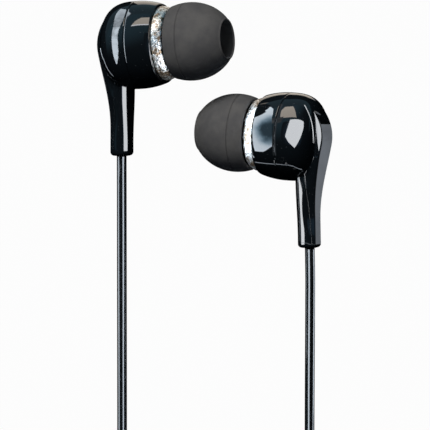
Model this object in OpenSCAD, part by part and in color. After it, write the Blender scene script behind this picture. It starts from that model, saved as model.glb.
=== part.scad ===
// Wired earphones: two stemmed in-ear pieces on a Y cord that ends in a 3.5 mm plug.
// Millimetres. The set lies on a surface at Z = 0 with its stems along Y. The branch cords leave
// the stems towards -Y and are put away there: a tied hank for each branch, then the splitter,
// then a tied coil of the main cord with the plug beside it.
//
// Each earpiece is drawn upright in its own axes and then laid down: X forward to the ear tip,
// Z up along the stem, origin at the middle of the housing's widest section. The round parts
// are drawn about Z and turned onto the acoustic axis by on_axis().

/* [Arrangement] */
// Distance between the two housing centres, across the set
set_spread = 24.26; // [23.8:0.02:26]
// Right earpiece: housing centre along the set
right_y = 12.93; // [12:0.01:16]
// Right earpiece: turn about its stem, ear tip upwards
right_turn = 21.5; // [10:0.5:30]
// Left earpiece: housing centre along the set
left_y = -1.96; // [-3:0.01:-1]
// Left earpiece: turn about its stem, ear tip downwards
left_turn = 21.5; // [10:0.5:30]
// Turn of the left earpiece on the surface, stem end outwards
left_swing = 1; // [-3:0.5:3]
// Droop of both stems towards the surface
stem_droop = 2.5; // [0:0.5:6]

/* [Housing] */
// Outside radius at the widest section, where the shells meet
housing_r = 7.16; // [6.9:0.02:7.6]
// Radius of the arc that the front shell's side follows
front_arc_r = 13; // [10:0.5:20]
// Length of the front shell ahead of the widest section
front_len = 4.25; // [4:0.05:5]
// Depth of the rear dome behind the widest section
dome_depth = 5.7; // [5.4:0.05:5.8]
// Squareness of the dome's outline, 2 for an ellipse
dome_power = 3; // [2.6:0.1:3.4]
// Wall of both shells
shell_wall = 0.9; // [0.7:0.05:1]
// Rise of the acoustic axis from square to the stem
axis_rise = 4; // [0:0.5:8]
// Lip of the front shell that laps inside the rear shell
lap_len = 0.7; // [0.4:0.1:1]
// Clearance between pieces that are fitted together
fit_gap = 0.04; // [0.02:0.01:0.08]

/* [Trim ring] */
// Length of the trim ring along the axis
ring_len = 1.85; // [1.4:0.05:2.2]
// Outside radius of the trim ring at its rear edge
ring_rear_r = 6.05; // [5.9:0.05:6.2]
// Outside radius of the trim ring at its front edge
ring_front_r = 5.6; // [5.4:0.05:5.8]
// Wall of the trim ring
ring_wall = 0.5; // [0.3:0.05:0.6]

/* [Nozzle] */
// Outside radius of the sound tube
nozzle_r = 2.5; // [2.3:0.05:2.7]
// Bore radius of the sound tube
nozzle_bore_r = 1.9; // [1.6:0.05:2]
// Length of the sound tube ahead of its flange
nozzle_len = 5.6; // [4.5:0.1:6.5]
// Thickness of the nozzle's flange
flange_t = 1; // [0.8:0.1:1.2]
// Height of the barb that holds the ear tip
barb_h = 0.1; // [0.05:0.01:0.15]
// Length of the barb
barb_len = 0.8; // [0.5:0.1:1]
// Thickness of the acoustic mesh
mesh_t = 0.25; // [0.2:0.05:0.4]

/* [Ear tip] */
// Outside radius of the ear tip at its widest
tip_r = 6.37; // [6:0.01:6.8]
// Radius of the ear tip's rear rim
tip_rim_r = 5.95; // [5.7:0.05:6.1]
// Length of the ear tip
tip_len = 9.15; // [8.6:0.05:9.6]
// Distance of the widest section from the rear rim
tip_wide_at = 2.9; // [2.4:0.1:3.4]
// Radius of the mouth that the sound leaves by
tip_mouth_r = 2.85; // [2.7:0.05:3]
// Rounding of the mouth's lip
tip_lip_r = 0.3; // [0.2:0.05:0.4]
// Wall of the outer bell
tip_skin = 0.7; // [0.5:0.05:0.8]
// Wall of the inner sleeve
sleeve_wall = 0.8; // [0.6:0.05:0.9]
// Radial clearance of the sleeve over the barb
tip_clear = 0.03; // [0.02:0.01:0.08]
// Axial clearance between the rear rim and the trim ring
tip_gap = 0.08; // [0.05:0.01:0.2]
// Distance that an ear tip moves to come off
tip_travel = 8; // [7:0.5:10]

/* [Stem] */
// Distance of the stem's axis behind the housing centre
stem_x = 3.2; // [3:0.05:3.4]
// Distance of the stem's end below the housing centre
stem_drop = 18.05; // [17:0.1:20]
// Front of the stem ahead of its axis, at the end
stem_front_end = 1.65; // [1.5:0.05:1.75]
// Front of the stem ahead of its axis, under the housing
stem_front_top = 1.65; // [1.5:0.05:1.8]
// Back of the stem behind its axis, at the end
stem_back = 1.5; // [1.45:0.05:1.6]
// Half width of the stem at the end
stem_half_end = 1.85; // [1.75:0.05:2]
// Half width of the stem under the housing
stem_half_top = 2.5; // [2.4:0.05:2.9]
// Corner cut of the stem, measured along its faces
stem_corner = 0.7; // [0.6:0.05:0.8]

/* [Back cover] */
// Radius of the back cover's curve round the housing
spine_r = 6.85; // [6.75:0.05:7]
// Distance of that curve's centre ahead of the housing centre
spine_shift = 0.27; // [0.2:0.01:0.35]
// Height at which the back cover begins, above the housing centre
spine_top = 6.05; // [5.8:0.05:6.2]
// Half width of the flat back at the housing
back_half_top = 2.45; // [2.3:0.05:2.6]
// Slope of the back cover's sides, from the flat back
side_slope = 65; // [55:1:70]
// Half width of the flat back at the stem's end
back_half_end = 1.3; // [1.2:0.05:1.4]
// Distance of the parting line behind the stem's axis, at the end
part_end = 1.0; // [0.95:0.02:1.1]
// Distance of the parting line behind the stem's axis, under the housing
part_top = 0.3; // [0.2:0.02:0.5]

/* [Driver] */
// Outside radius of the driver's frame
driver_r = 5; // [4.6:0.05:5.2]
// Depth of the driver's frame
driver_depth = 2.2; // [1.8:0.1:2.4]
// Outside radius of the yoke cup
yoke_r = 3.9; // [3.7:0.05:4.1]
// Wall of the yoke cup
yoke_wall = 0.5; // [0.4:0.05:0.6]
// Depth of the yoke cup
yoke_depth = 2.2; // [2:0.1:2.4]
// Radius of the magnet and its top plate
magnet_r = 2.9; // [2.7:0.05:2.95]
// Thickness of the magnet
magnet_t = 1.1; // [0.9:0.05:1.2]
// Thickness of the top plate
plate_t = 0.5; // [0.4:0.05:0.6]
// Middle radius of the voice coil
coil_r = 3.15; // [3.12:0.01:3.18]
// Wall of the voice coil
coil_wall = 0.16; // [0.1:0.02:0.2]
// Height of the voice coil
coil_h = 1.1; // [0.9:0.05:1.2]
// Radius of the diaphragm's dome at its rim
dome_rim_r = 3.4; // [3.3:0.02:3.5]
// Rise of the diaphragm's dome
dome_rise = 0.5; // [0.3:0.05:0.6]
// Thickness of the diaphragm
film_t = 0.1; // [0.08:0.01:0.15]
// Excursion of the diaphragm each way
excursion = 0.2; // [0.1:0.05:0.25]
// Thickness of the perforated cover
cover_t = 0.3; // [0.2:0.05:0.4]
// Radius of the cover's holes
cover_hole_r = 0.45; // [0.3:0.05:0.5]
// Thickness of the terminal board
board_t = 0.5; // [0.3:0.1:0.6]

/* [Cord] */
// Diameter of the branch cords
branch_d = 1.6; // [1.4:0.1:1.6]
// Diameter of the main cord
main_d = 2; // [1.8:0.1:2]
// Radial clearance of the branch cord in the stem
cord_clear = 0.08; // [0.05:0.01:0.15]
// Length of the clamp block in the stem
clamp_len = 2; // [1.5:0.1:3]
// Distance of the clamp from the stem's end
clamp_in = 2.5; // [2:0.1:4]
// Diameter of a conductor inside the stem
wire_d = 0.4; // [0.3:0.05:0.5]

/* [Hanks and coil] */
// Length of the right hank's runs
right_run = 24; // [22:0.5:26]
// Length of the left hank's runs
left_run = 26; // [24:0.5:28]
// Radius of a hank's innermost fold
hank_inner_r = 3.4; // [3.2:0.1:3.6]
// Sideways step from one turn of a hank to the next
hank_step = 2.35; // [2.3:0.05:2.4]
// Height of one layer of a hank
hank_rise = 2.15; // [2.1:0.05:2.2]
// Distance that a hank is drawn in at its waist, each side
hank_waist = 1.9; // [1.5:0.1:2]
// Radius of the coil's innermost turn
coil_inner_r = 7.2; // [7:0.1:7.4]
// Sideways step from one turn of the coil to the next
coil_step = 2.8; // [2.75:0.05:2.85]
// Height of one layer of the coil
coil_rise = 2.5; // [2.45:0.05:2.6]
// Turns in each layer of the coil
coil_turns = 2.75; // [2.5:0.25:2.75]
// Thickness of a tie
tie_t = 0.5; // [0.4:0.05:0.6]
// Width of a tie
tie_w = 2.5; // [2:0.1:3]
// Clearance between a tie and the turns it holds
tie_gap = 0.15; // [0.1:0.05:0.2]

/* [Splitter] */
// Length of the splitter
splitter_len = 11; // [10.8:0.1:11]
// Width of the splitter at the branches
splitter_wide = 6; // [5.8:0.1:6.4]
// Width of the splitter at the main cord
splitter_narrow = 3.8; // [3.4:0.1:4]
// Thickness of the splitter
splitter_t = 3.6; // [3.6:0.1:3.8]

/* [Plug] */
// Radius of the plug's pin
pin_r = 1.75; // [1.7:0.01:1.8]
// Length of the plug's pin
pin_len = 14; // [13:0.1:15]
// Radius of the plug's grip
grip_r = 2.75; // [2.5:0.05:3]
// Length of the plug's grip
grip_len = 13; // [12:0.1:14]
// Length of the strain relief behind the grip
relief_len = 6; // [5:0.1:7]
// Width of an insulating ring on the pin
insulator_w = 0.6; // [0.4:0.05:0.8]
// Length of the ring contact
ring_contact_len = 2.2; // [2:0.1:2.6]
// Length of the tip contact
tip_contact_len = 4; // [3.6:0.1:4.4]
// Radius of the groove behind the tip contact's head
tip_neck_r = 1.25; // [1.2:0.05:1.4]

/* [Hidden] */
$fn = 64;

// Vector turned about X, Y and Z by angle t
function turn_x(p, t) = [p[0], p[1] * cos(t) - p[2] * sin(t), p[1] * sin(t) + p[2] * cos(t)];
function turn_y(p, t) = [p[0] * cos(t) + p[2] * sin(t), p[1], p[2] * cos(t) - p[0] * sin(t)];
function turn_z(p, t) = [p[0] * cos(t) - p[1] * sin(t), p[0] * sin(t) + p[1] * cos(t), p[2]];
// An earpiece's own direction once it is laid down: spin is its turn about Y, swing about Z
function laid(p, spin, swing) = turn_z(turn_x(turn_y(turn_x(p, -90), spin), stem_droop), swing);
right_x = -set_spread / 2;
left_x = set_spread / 2;
right_spin = -right_turn;
left_spin = 180 - left_turn;

// Outlines of the round shells, as [distance along the axis, radius]
function front_r(a) = housing_r - front_arc_r + sqrt(pow(front_arc_r, 2) - pow(a, 2));
function dome_r(a) = housing_r * pow(1 - pow(min(1, -a / dome_depth), dome_power), 1 / dome_power);
front_steps = 8;
dome_steps = 16;
front_side = [for (i = [0:front_steps]) let (a = front_len * i / front_steps) [a, front_r(a)]];
dome_side = [for (i = [0:dome_steps]) let (t = 90 * i / dome_steps)
    let (a = -dome_depth * pow(sin(t), 2 / dome_power)) [a, i == dome_steps ? 0 : dome_r(a)]];

// Places along the acoustic axis
end_wall = front_len - shell_wall;
ring_end = front_len + ring_len;
tip_at = ring_end + tip_gap;
ring_bore_r = ring_front_r - ring_wall;
neck_r = ring_bore_r - fit_gap;
port_r = neck_r - shell_wall;
flange_at = ring_end - flange_t;
nozzle_end = ring_end + nozzle_len;
seat_r = driver_r + fit_gap;
frame_wall = 0.45;
frame_back = end_wall - driver_depth;
web_front = frame_back + frame_wall;
yoke_set_back = 0.1;
yoke_front = web_front - yoke_set_back;
yoke_back = yoke_front - yoke_depth;
magnet_back = yoke_back + yoke_wall;
film_spare = 0.15;
film_at = yoke_front + excursion + film_spare;
shelf_w = 0.4;
shelf_r = driver_r - frame_wall - shelf_w;
film_r = driver_r - frame_wall - fit_gap;
board_back = yoke_back - board_t;
board_r = 2.6;
mesh_lip = 0.2;
seat_depth = 1.2;
cut_over = 1;
bell_back = 1;
mouth_lip = 0.2;
mouth_len = 1;
sleeve_over = 0.1;
hole_pitch = 1.5;
hole_rows = [[1, 0], [6, hole_pitch], [12, 2 * hole_pitch]];
lap_r = housing_r - shell_wall / 2;

// Outline of the ear tip's outside, from the rear rim to the mouth
tip_steps = 7;
tip_out_len = tip_len - tip_wide_at;
tip_lip_mid = tip_mouth_r + tip_lip_r;
// How far the front ellipse would run on past the lip before it reached the axis
tip_ellipse = tip_out_len / sqrt(1 - pow(tip_lip_mid / tip_r, 2));
tip_rear = [for (i = [0:tip_steps]) let (t = i / tip_steps)
    [tip_wide_at * t, tip_rim_r + (tip_r - tip_rim_r) * sin(90 * t)]];
tip_front = [for (i = [1:tip_steps * 2]) let (t = i / (tip_steps * 2))
    let (z = tip_out_len * sin(90 * t)) [tip_wide_at + z, tip_r * sqrt(1 - pow(z / tip_ellipse, 2))]];

// Height of a laid housing's centre: its lowest point touches the surface
rest_points = concat(front_side, dome_side, [for (p = tip_rear) [tip_at + p[0], p[1]]],
    [for (p = tip_front) [tip_at + p[0], p[1]]]);
function resting(n) = max([for (p = rest_points) p[1] * sqrt(1 - n * n) - p[0] * n]);
axis_dir = [cos(axis_rise), 0, sin(axis_rise)];
right_axis = laid(axis_dir, right_spin, 0);
left_axis = laid(axis_dir, left_spin, left_swing);
right_place = [right_x, right_y, resting(right_axis[2])];
left_place = [left_x, left_y, resting(left_axis[2])];
right_out = laid([0, 0, -1], right_spin, 0);
left_out = laid([0, 0, -1], left_spin, left_swing);
right_clamp = right_place + laid([-stem_x, 0, clamp_in - stem_drop], right_spin, 0);
left_clamp = left_place + laid([-stem_x, 0, clamp_in - stem_drop], left_spin, left_swing);
echo(right_clamp = right_clamp, left_clamp = left_clamp, right_out = right_out, left_out = left_out,
    right_place = right_place, left_place = left_place, right_axis = right_axis, left_axis = left_axis);

// Side outline of the stem and back cover, as distances behind the housing centre by height
flare_top = -1.5;
flare_end = -12.8;
flare_u = sqrt(pow(spine_r, 2) - pow(flare_top, 2)) - spine_shift;
flare_slope = -flare_top / (flare_u + spine_shift) * (flare_top - flare_end);
back_end = stem_x + stem_back;
function flare(s) = (1 - 3 * s * s + 2 * s * s * s) * flare_u - (s - 2 * s * s + s * s * s) * flare_slope
    + (3 * s * s - 2 * s * s * s) * back_end;
function back_u(z) = z > flare_top ? sqrt(pow(spine_r, 2) - z * z) - spine_shift
    : z < flare_end ? back_end : flare((flare_top - z) / (flare_top - flare_end));
// Smooth change from one value to another between two heights
function ease(z, low, high, at_low, at_high) = let (s = min(1, max(0, (z - low) / (high - low))))
    at_low + (at_high - at_low) * (3 * s * s - 2 * s * s * s);
wide_z = -7;
back_low = -14;
back_high = -2;
half_low = -16;
widen_low = -6.5;
widen_high = -3;
widen = 2;
function back_half(z) = ease(z, back_low, back_high, back_half_end, back_half_top);
function stem_half(z) = ease(z, half_low, wide_z, stem_half_end, stem_half_top);
function side_limit(z) = stem_half(z) + ease(z, widen_low, widen_high, 0, widen);
function stem_front(z) = ease(z, -stem_drop, wide_z, stem_front_end, stem_front_top);
stem_steps = 10;
heights = [for (i = [0:stem_steps]) -stem_drop + (stem_drop + flare_top) * i / stem_steps];
top_steps = 9;
top_heights = [for (i = [1:top_steps]) flare_top + (spine_top - flare_top) * sin(90 * i / top_steps)];

// Heights and places inside the dome, which hides them
parting_top = -6.4;
stem_inner_z = -4.5;
stem_inner_x = -1.5;
cover_inner_x = -2.2;
cover_inner_z = -4;
cover_inner_top = 0.4;
parting_low = [-stem_x - part_end, -stem_drop];
parting_high = [-stem_x - part_top, parting_top];
bore_r = branch_d / 2 + cord_clear;
clamp_z = -stem_drop + clamp_in;
channel_half = 1.1;
channel_front = 1;
channel_len = 10.5;
clamp_back = 0.69;
lead_front = 0.4;
lead_half = 0.6;
end_cut = 0.4;
cover_gap = 0.02;
lead_low = 2.4;
lead_bend_low = -4.6;
lead_bend_high = -4.4;
// Point on the rear face of the terminal board, a distance below the axis
function board_point(down) = [board_back * cos(axis_rise) + down * sin(axis_rise),
    board_back * sin(axis_rise) - down * cos(axis_rise)];

// Places of the put-away cord. Routes give the middle of the cord
cord_z = branch_d / 2;
main_z = main_d / 2;
straight = clamp_in + 2;
right_lane = right_x - 2.97;
left_lane = left_x + 3.37;
hank_start = -60;
right_cord_route = concat([right_clamp, right_clamp + straight * right_out], [[right_lane, -11, 5.1],
    [right_lane, -15, 4.7], [right_lane, -20, 4.15], [right_lane, -25, 3.5], [right_lane, -30, 2.85],
    [right_lane, -35, 2.2], [right_lane, -40, 1.65], [right_lane, -45, 1.2], [right_lane, -50, 0.9],
    [right_lane, -54, cord_z], [right_lane, -57, cord_z], [right_lane, hank_start, cord_z]]);
left_cord_route = concat([left_clamp, left_clamp + straight * left_out], [[left_lane, -25, 9.8],
    [left_lane, -28, 9.25], [left_lane, -31, 8.35], [left_lane, -34, 7.2], [left_lane, -37, 5.95],
    [left_lane, -40, 4.65], [left_lane, -43, 3.45], [left_lane, -46, 2.4], [left_lane, -49, 1.55],
    [left_lane, -52, 1], [left_lane, -55, cord_z], [left_lane, -57.5, cord_z],
    [left_lane, hank_start, cord_z]]);

// A hank runs to and fro about a long loop: inwards in the lower layer, outwards in the upper.
// t counts turns. The start and the end are on the same side, hank_out from the middle
hank_turns = 3.25;
hank_in_turns = 1.5;
climb_turns = 0.25;
hank_out = hank_inner_r + hank_step * hank_in_turns;
tie_lift = tie_t + tie_gap;
function hank_rho(t) = hank_inner_r + hank_step * (t < hank_in_turns ? hank_in_turns - t
    : max(0, t - hank_in_turns - climb_turns));
// Weight of the waist at a distance along the run, nothing at its ends
function waist(y, run) = (1 + cos(360 * y / run)) / 2;
function hank_point(t, run, mid, lane, side) =
    let (p = t - floor(t), rho = hank_rho(t), part = floor(p * 4), f = p * 4 - part)
    let (y = part == 0 ? run / 2 - run * f : part == 2 ? run * f - run / 2 : part == 1 ? -run / 2 : run / 2)
    let (turn = part == 1 ? 180 + 180 * f : part == 3 ? 180 * f : part == 0 ? 180 : 0)
    let (w = part == 0 || part == 2 ? waist(y, run) : 0, reach = rho - hank_waist * w)
    [lane + side * (hank_out + reach * cos(turn)), mid + y + (w > 0 || part % 2 == 0 ? 0 : rho * sin(turn)),
        cord_z + tie_lift * w + hank_rise * min(1, max(0, (t - hank_in_turns) / climb_turns))];
rings_per_turn = 24;
function hank_route(run, lane, side) = [for (i = [0:hank_turns * rings_per_turn])
    hank_point(i / rings_per_turn, run, hank_start - run / 2, lane, side)];
right_hank_route = hank_route(right_run, right_lane, 1);
left_hank_route = hank_route(left_run, left_lane, -1);
hank_end_z = cord_z + hank_rise;
right_hank_end = [right_lane, hank_start - right_run, hank_end_z];
left_hank_end = [left_lane, hank_start - left_run, hank_end_z];

splitter_x = -4;
splitter_y = -104;
branch_half = 1.3;
split_z = splitter_t / 2;
right_entry = splitter_x - branch_half;
left_entry = splitter_x + branch_half;
// Leads, as [share of the way across to the splitter, place along the set, height]
function lead(end, across, marks) = concat([end],
    [for (m = marks) [end[0] + m[0] * (across - end[0]), m[1], m[2]]]);
right_lead_route = lead(right_hank_end, right_entry, [[0, -86, 2.95], [0.06, -89.2, 2.95],
    [0.22, -92, 2.8], [0.5, -94.2, 2.4], [0.78, -96.4, 2.1], [0.94, -99.2, 1.9], [1, -102.4, split_z],
    [1, splitter_y, split_z]]);
left_lead_route = lead(left_hank_end, left_entry, [[0, -87.8, 2.95], [0.02, -89.7, 2.95],
    [0.08, -91.3, 2.95], [0.17, -92.4, 2.95], [0.33, -93.7, 2.9], [0.5, -95.1, 2.6], [0.67, -96.5, 2.2],
    [0.84, -97.8, 1.9], [0.92, -98.9, split_z], [0.98, -100.5, split_z], [1, -102.4, split_z],
    [1, splitter_y, split_z]]);

// The coil spirals inwards and outwards in turn through four layers. Its climbs are in the half
// turns where the spiral reverses
coil_x = 3;
coil_y = -135;
coil_start = 135;
coil_leg = coil_turns + 0.5;
coil_end_angle = 100;
coil_all = round(3 * coil_leg + 2.15) - (coil_start - coil_end_angle) / 360;
tie_angle = 300;
tie_spread = 40;
// Lift of the coil where its tie passes under it
function tie_rise(a) = let (off = abs((a - tie_angle + 540) % 360 - 180))
    off < tie_spread ? tie_lift * (1 + cos(180 * off / tie_spread)) / 2 : 0;
function coil_rho(t) = let (k = floor(t / coil_leg), s = min(t - k * coil_leg, coil_turns))
    coil_inner_r + coil_step * (k % 2 == 0 ? coil_turns - s : s);
function coil_point(t) = let (k = floor(t / coil_leg), a = coil_start + 360 * t, rho = coil_rho(t))
    [coil_x + rho * cos(a), coil_y + rho * sin(a), main_z + tie_rise(a)
        + coil_rise * (k + max(0, (t - k * coil_leg - coil_turns) / 0.5))];
coil_steps = floor(coil_all * rings_per_turn);
coil_route = [for (i = [0:coil_steps]) coil_point(coil_all * i / coil_steps)];
coil_first = coil_point(0);
coil_last = coil_point(coil_all);
coil_in = [-sin(coil_start), cos(coil_start), 0];
coil_out = [-sin(coil_end_angle), cos(coil_end_angle), 0];
splitter_end = splitter_y - splitter_len;
lead_in_route = concat([[splitter_x, splitter_end, split_z], [splitter_x, splitter_end - main_d, split_z],
    [splitter_x, -118.6, 1.5], [-4.5, -120.6, 1.15], [-6.1, -123, main_z]], [coil_first]);
plug_x = -16.5;
plug_y = -128.5;
lead_out_route = concat([coil_last, coil_last + main_d * coil_out], [[-5, -122, 8.3], [-8.8, -121.5, 7.4],
    [-12.2, -121.6, 6.1], [-14.9, -122.9, 4.6], [-16.2, -125, 3.3], [plug_x, plug_y + main_d, grip_r],
    [plug_x, plug_y, grip_r]]);

// Least gap of a coiled cord to itself, between the middles of its rings
function self_gap(route, d, apart) = min([for (i = [0:len(route) - 1])
    min([for (j = [0:len(route) - 1]) abs(i - j) > apart ? norm(route[i] - route[j]) - d : 99])]);
echo(right_hank_gap = self_gap(right_hank_route, branch_d, 8),
    left_hank_gap = self_gap(left_hank_route, branch_d, 8), coil_gap = self_gap(coil_route, main_d, 6));
function run_length(route) = [for (i = 1, all = 0; i <= len(route); all = all
    + (i < len(route) ? norm(route[i] - route[i - 1]) : 0), i = i + 1) all][len(route) - 1];
echo(lengths = [for (r = [right_cord_route, right_hank_route, right_lead_route, left_cord_route,
    left_hank_route, left_lead_route, lead_in_route, coil_route, lead_out_route]) run_length(r)]);

// ---------------------------------------------------------------- round pieces on the axis
module on_axis() rotate([0, 90 - axis_rise, 0]) children();
// Solid turned from an outline of [distance along the axis, radius]
module turned(outline) rotate_extrude() polygon([for (p = outline) [p[1], p[0]]]);
module tube_on(at, len, outer, inner) translate([0, 0, at]) difference() {
    cylinder(h = len, r = outer);
    translate([0, 0, -1]) cylinder(h = len + 2, r = inner);
}
module disc_on(at, len, r) translate([0, 0, at]) cylinder(h = len, r = r);

module front_shell() color("#15191d") on_axis() difference() {
    turned(concat([[-lap_len, 0], [-lap_len, lap_r - fit_gap], [0, lap_r - fit_gap]], front_side,
        [[front_len, 0]]));
    disc_on(-lap_len - cut_over, end_wall + lap_len + cut_over, seat_r);
    turned(concat([[-lap_len - cut_over, 0], [-lap_len - cut_over, housing_r - shell_wall]],
        [for (p = front_side) if (p[0] < end_wall - seat_depth) [p[0], p[1] - shell_wall]],
        [[end_wall - seat_depth, 0]]));
    disc_on(-lap_len - cut_over, front_len + lap_len + 2 * cut_over, port_r);
}

module trim_ring() color("#b9b2a6") on_axis() difference() {
    turned([[front_len, 0], [front_len, ring_rear_r], [ring_end, ring_front_r], [ring_end, 0]]);
    disc_on(front_len - 1, ring_len + 2, ring_bore_r);
}

module nozzle() color("#1b1f23") on_axis() difference() {
    union() {
        disc_on(front_len, ring_len, neck_r);
        disc_on(ring_end, nozzle_len, nozzle_r);
        turned([[nozzle_end - barb_len, 0], [nozzle_end - barb_len, nozzle_r + barb_h],
            [nozzle_end, nozzle_r], [nozzle_end, 0]]);
    }
    disc_on(front_len - 1, flange_at - front_len + 1, port_r);
    disc_on(flange_at - 1, nozzle_end - flange_at + 2, nozzle_bore_r);
    disc_on(nozzle_end - mesh_t, mesh_t + cut_over, nozzle_bore_r + mesh_lip);
}

module nozzle_mesh() color("#5b5d5f") on_axis()
    disc_on(nozzle_end - mesh_t, mesh_t, nozzle_bore_r + mesh_lip - fit_gap);

module ear_tip() color("#3a3a3a") on_axis() translate([0, 0, tip_at]) difference() {
    sleeve_r = nozzle_r + barb_h + tip_clear;
    sleeve_end = nozzle_len - tip_gap + sleeve_over;
    bell_end = sleeve_end - bell_back;
    turned(concat([[0, 0]], tip_rear, tip_front, [[tip_len, 0]]));
    // Hollow between the bell and the sleeve, open to the rear
    difference() {
        turned(concat([[-cut_over, 0], [-cut_over, tip_rim_r - tip_skin]],
            [for (p = tip_rear) [p[0], p[1] - tip_skin]],
            [for (p = tip_front) if (p[0] < bell_end) [p[0], p[1] - tip_skin]],
            [[bell_end, sleeve_r + sleeve_wall], [bell_end, 0]]));
        disc_on(-2 * cut_over, tip_len, sleeve_r + sleeve_wall);
    }
    disc_on(-cut_over, sleeve_end + cut_over, sleeve_r);
    turned([[0, 0], [0, nozzle_bore_r], [tip_len - mouth_lip - mouth_len, nozzle_bore_r],
        [tip_len - mouth_lip, tip_mouth_r], [tip_len + cut_over, tip_mouth_r], [tip_len + cut_over, 0]]);
}

// ---------------------------------------------------------------- rear shell and back cover
// Prism of an outline of [forward, up], through the earpiece from side to side
module side_prism(outline) rotate([90, 0, 0]) linear_extrude(height = 20, center = true)
    polygon(outline);
// Prism that ends at a limit which changes with height, facing a direction round the stem
module limit_prism(dir, limits) rotate([0, 0, dir]) side_prism(concat([[-20, limits[0][1]]], limits,
    [[-20, limits[len(limits) - 1][1]]]));

all_heights = concat(heights, top_heights);
stem_heights = [for (z = heights) if (z < stem_inner_z) z];

module stem_front_part() intersection() {
    side_prism(concat([parting_low, parting_high, [-stem_x, stem_inner_z], [stem_inner_x, stem_inner_z]],
        [for (i = [len(stem_heights) - 1:-1:1]) [-stem_x + stem_front(stem_heights[i]), stem_heights[i]]],
        [[-stem_x + stem_front_end, -stem_drop + end_cut],
            [-stem_x + stem_front_end - end_cut, -stem_drop]]));
    stem_sides();
    for (side = [-1, 1]) limit_prism(45 * side, [for (z = stem_heights)
        [(-stem_x + stem_front(z) + stem_half(z) - stem_corner) / sqrt(2), z]]);
}

// Limit on both sides of the stem, wider above it where only the dome bounds the cover
module stem_sides() intersection() {
    limit_prism(90, [for (z = all_heights) [side_limit(z), z]]);
    limit_prism(-90, [for (z = all_heights) [side_limit(z), z]]);
}

// Distance of a back cover's side face from the housing centre
function back_edge(z) = back_u(z) * cos(side_slope) + back_half(z) * sin(side_slope);
module back_edges() intersection() {
    limit_prism(180 - side_slope, [for (z = all_heights) [back_edge(z), z]]);
    limit_prism(side_slope - 180, [for (z = all_heights) [back_edge(z), z]]);
}

module rear_shell() color("#15191d") difference() {
    union() {
        on_axis() turned(concat([[0, 0]], dome_side));
        intersection() {
            stem_front_part();
            back_edges();
        }
    }
    on_axis() {
        translate([0, 0, -lap_len]) cylinder(h = lap_len + 1, r = lap_r);
        turned(concat([[0, 0]], [for (p = dome_side)
            [p[0] * (1 - shell_wall / dome_depth), p[1] * (1 - shell_wall / housing_r)]]));
    }
    translate([-stem_x, 0, -stem_drop - 1]) cylinder(h = clamp_in + 1, r = bore_r);
    translate([-stem_x - 3, -bore_r, -stem_drop - 1]) cube([3, 2 * bore_r, clamp_in + 1.01]);
    translate([-stem_x - 3, -channel_half, clamp_z]) cube([3 + channel_front, 2 * channel_half, 10.5]);
}

module back_cover() color("#101418") difference() {
    intersection() {
        side_prism(concat([parting_low, parting_high, [cover_inner_x, cover_inner_z],
            [cover_inner_x, spine_top - cover_inner_top]],
            [for (i = [len(all_heights) - 1:-1:1]) [-back_u(all_heights[i]), all_heights[i]]],
            [[-back_end, -stem_drop + end_cut], [-back_end + end_cut / 2, -stem_drop]]));
        stem_sides();
        back_edges();
    }
    on_axis() turned(concat([[0, 0], [0, housing_r + cover_gap]], [for (p = dome_side)
        [p[0] * (1 + cover_gap / dome_depth), p[1] * (1 + cover_gap / housing_r)]]));
}

// ---------------------------------------------------------------- driver and wiring
module driver_frame() color("#6f7377") on_axis() difference() {
    disc_on(frame_back, driver_depth, driver_r);
    disc_on(film_at, driver_depth, driver_r - frame_wall);
    disc_on(web_front, driver_depth, shelf_r);
    disc_on(frame_back - 1, driver_depth, yoke_r + fit_gap);
}

module yoke() color("#8d9094") on_axis() difference() {
    disc_on(yoke_back, yoke_depth, yoke_r);
    disc_on(magnet_back, yoke_depth, yoke_r - yoke_wall);
}

module magnet() color("#b4b6b8") on_axis() disc_on(magnet_back, magnet_t, magnet_r);
module top_plate() color("#9a9da0") on_axis() disc_on(magnet_back + magnet_t, plate_t, magnet_r);

module voice_coil() color("#b4713a") on_axis()
    tube_on(film_at - coil_h, coil_h, coil_r + coil_wall / 2, coil_r - coil_wall / 2);

module diaphragm() color("#d8d8d2") on_axis() difference() {
    dome_foot = coil_r - coil_wall;
    turned(concat([[film_at, 0], [film_at, dome_rim_r], [film_at + film_t, dome_rim_r]],
        [for (i = [0:6]) let (t = 15 * i) [film_at + film_t + dome_rise * sin(t), dome_foot * cos(t)]]));
    turned(concat([[film_at - 1, 0], [film_at - 1, dome_foot - film_t]],
        [for (i = [0:6]) let (t = 15 * i) [film_at + dome_rise * sin(t), (dome_foot - film_t) * cos(t)]]));
}

module surround() color("#c9c9c2") on_axis()
    tube_on(film_at, film_t, film_r, dome_rim_r + fit_gap);

module driver_cover() color("#7d8185") on_axis() difference() {
    disc_on(end_wall - cover_t, cover_t, film_r);
    for (row = hole_rows) for (i = [1:row[0]]) rotate([0, 0, 360 * i / row[0]])
        translate([row[1], 0, end_wall - cover_t - 1]) cylinder(h = cover_t + 2, r = cover_hole_r, $fn = 24);
}

module terminal_board() color("#2f6b45") on_axis() disc_on(board_back, board_t, board_r);

module cable_clamp() color("#3b3f42") translate([-stem_x - clamp_back, -channel_half + fit_gap, clamp_z])
    cube([clamp_back + channel_front - fit_gap, 2 * (channel_half - fit_gap), clamp_len]);

module inner_lead() color("#a85f34") rotate([90, 0, 0])
    linear_extrude(height = 2 * lead_half, center = true) polygon([
        [-stem_x, clamp_z + clamp_len], [-stem_x + lead_front, clamp_z + clamp_len],
        [-stem_x + lead_front, lead_bend_low], board_point(lead_low), board_point(lead_low - lead_front),
        [-stem_x, lead_bend_high]]);

// ---------------------------------------------------------------- cord pieces
function unit(v) = v / norm(v);
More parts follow.
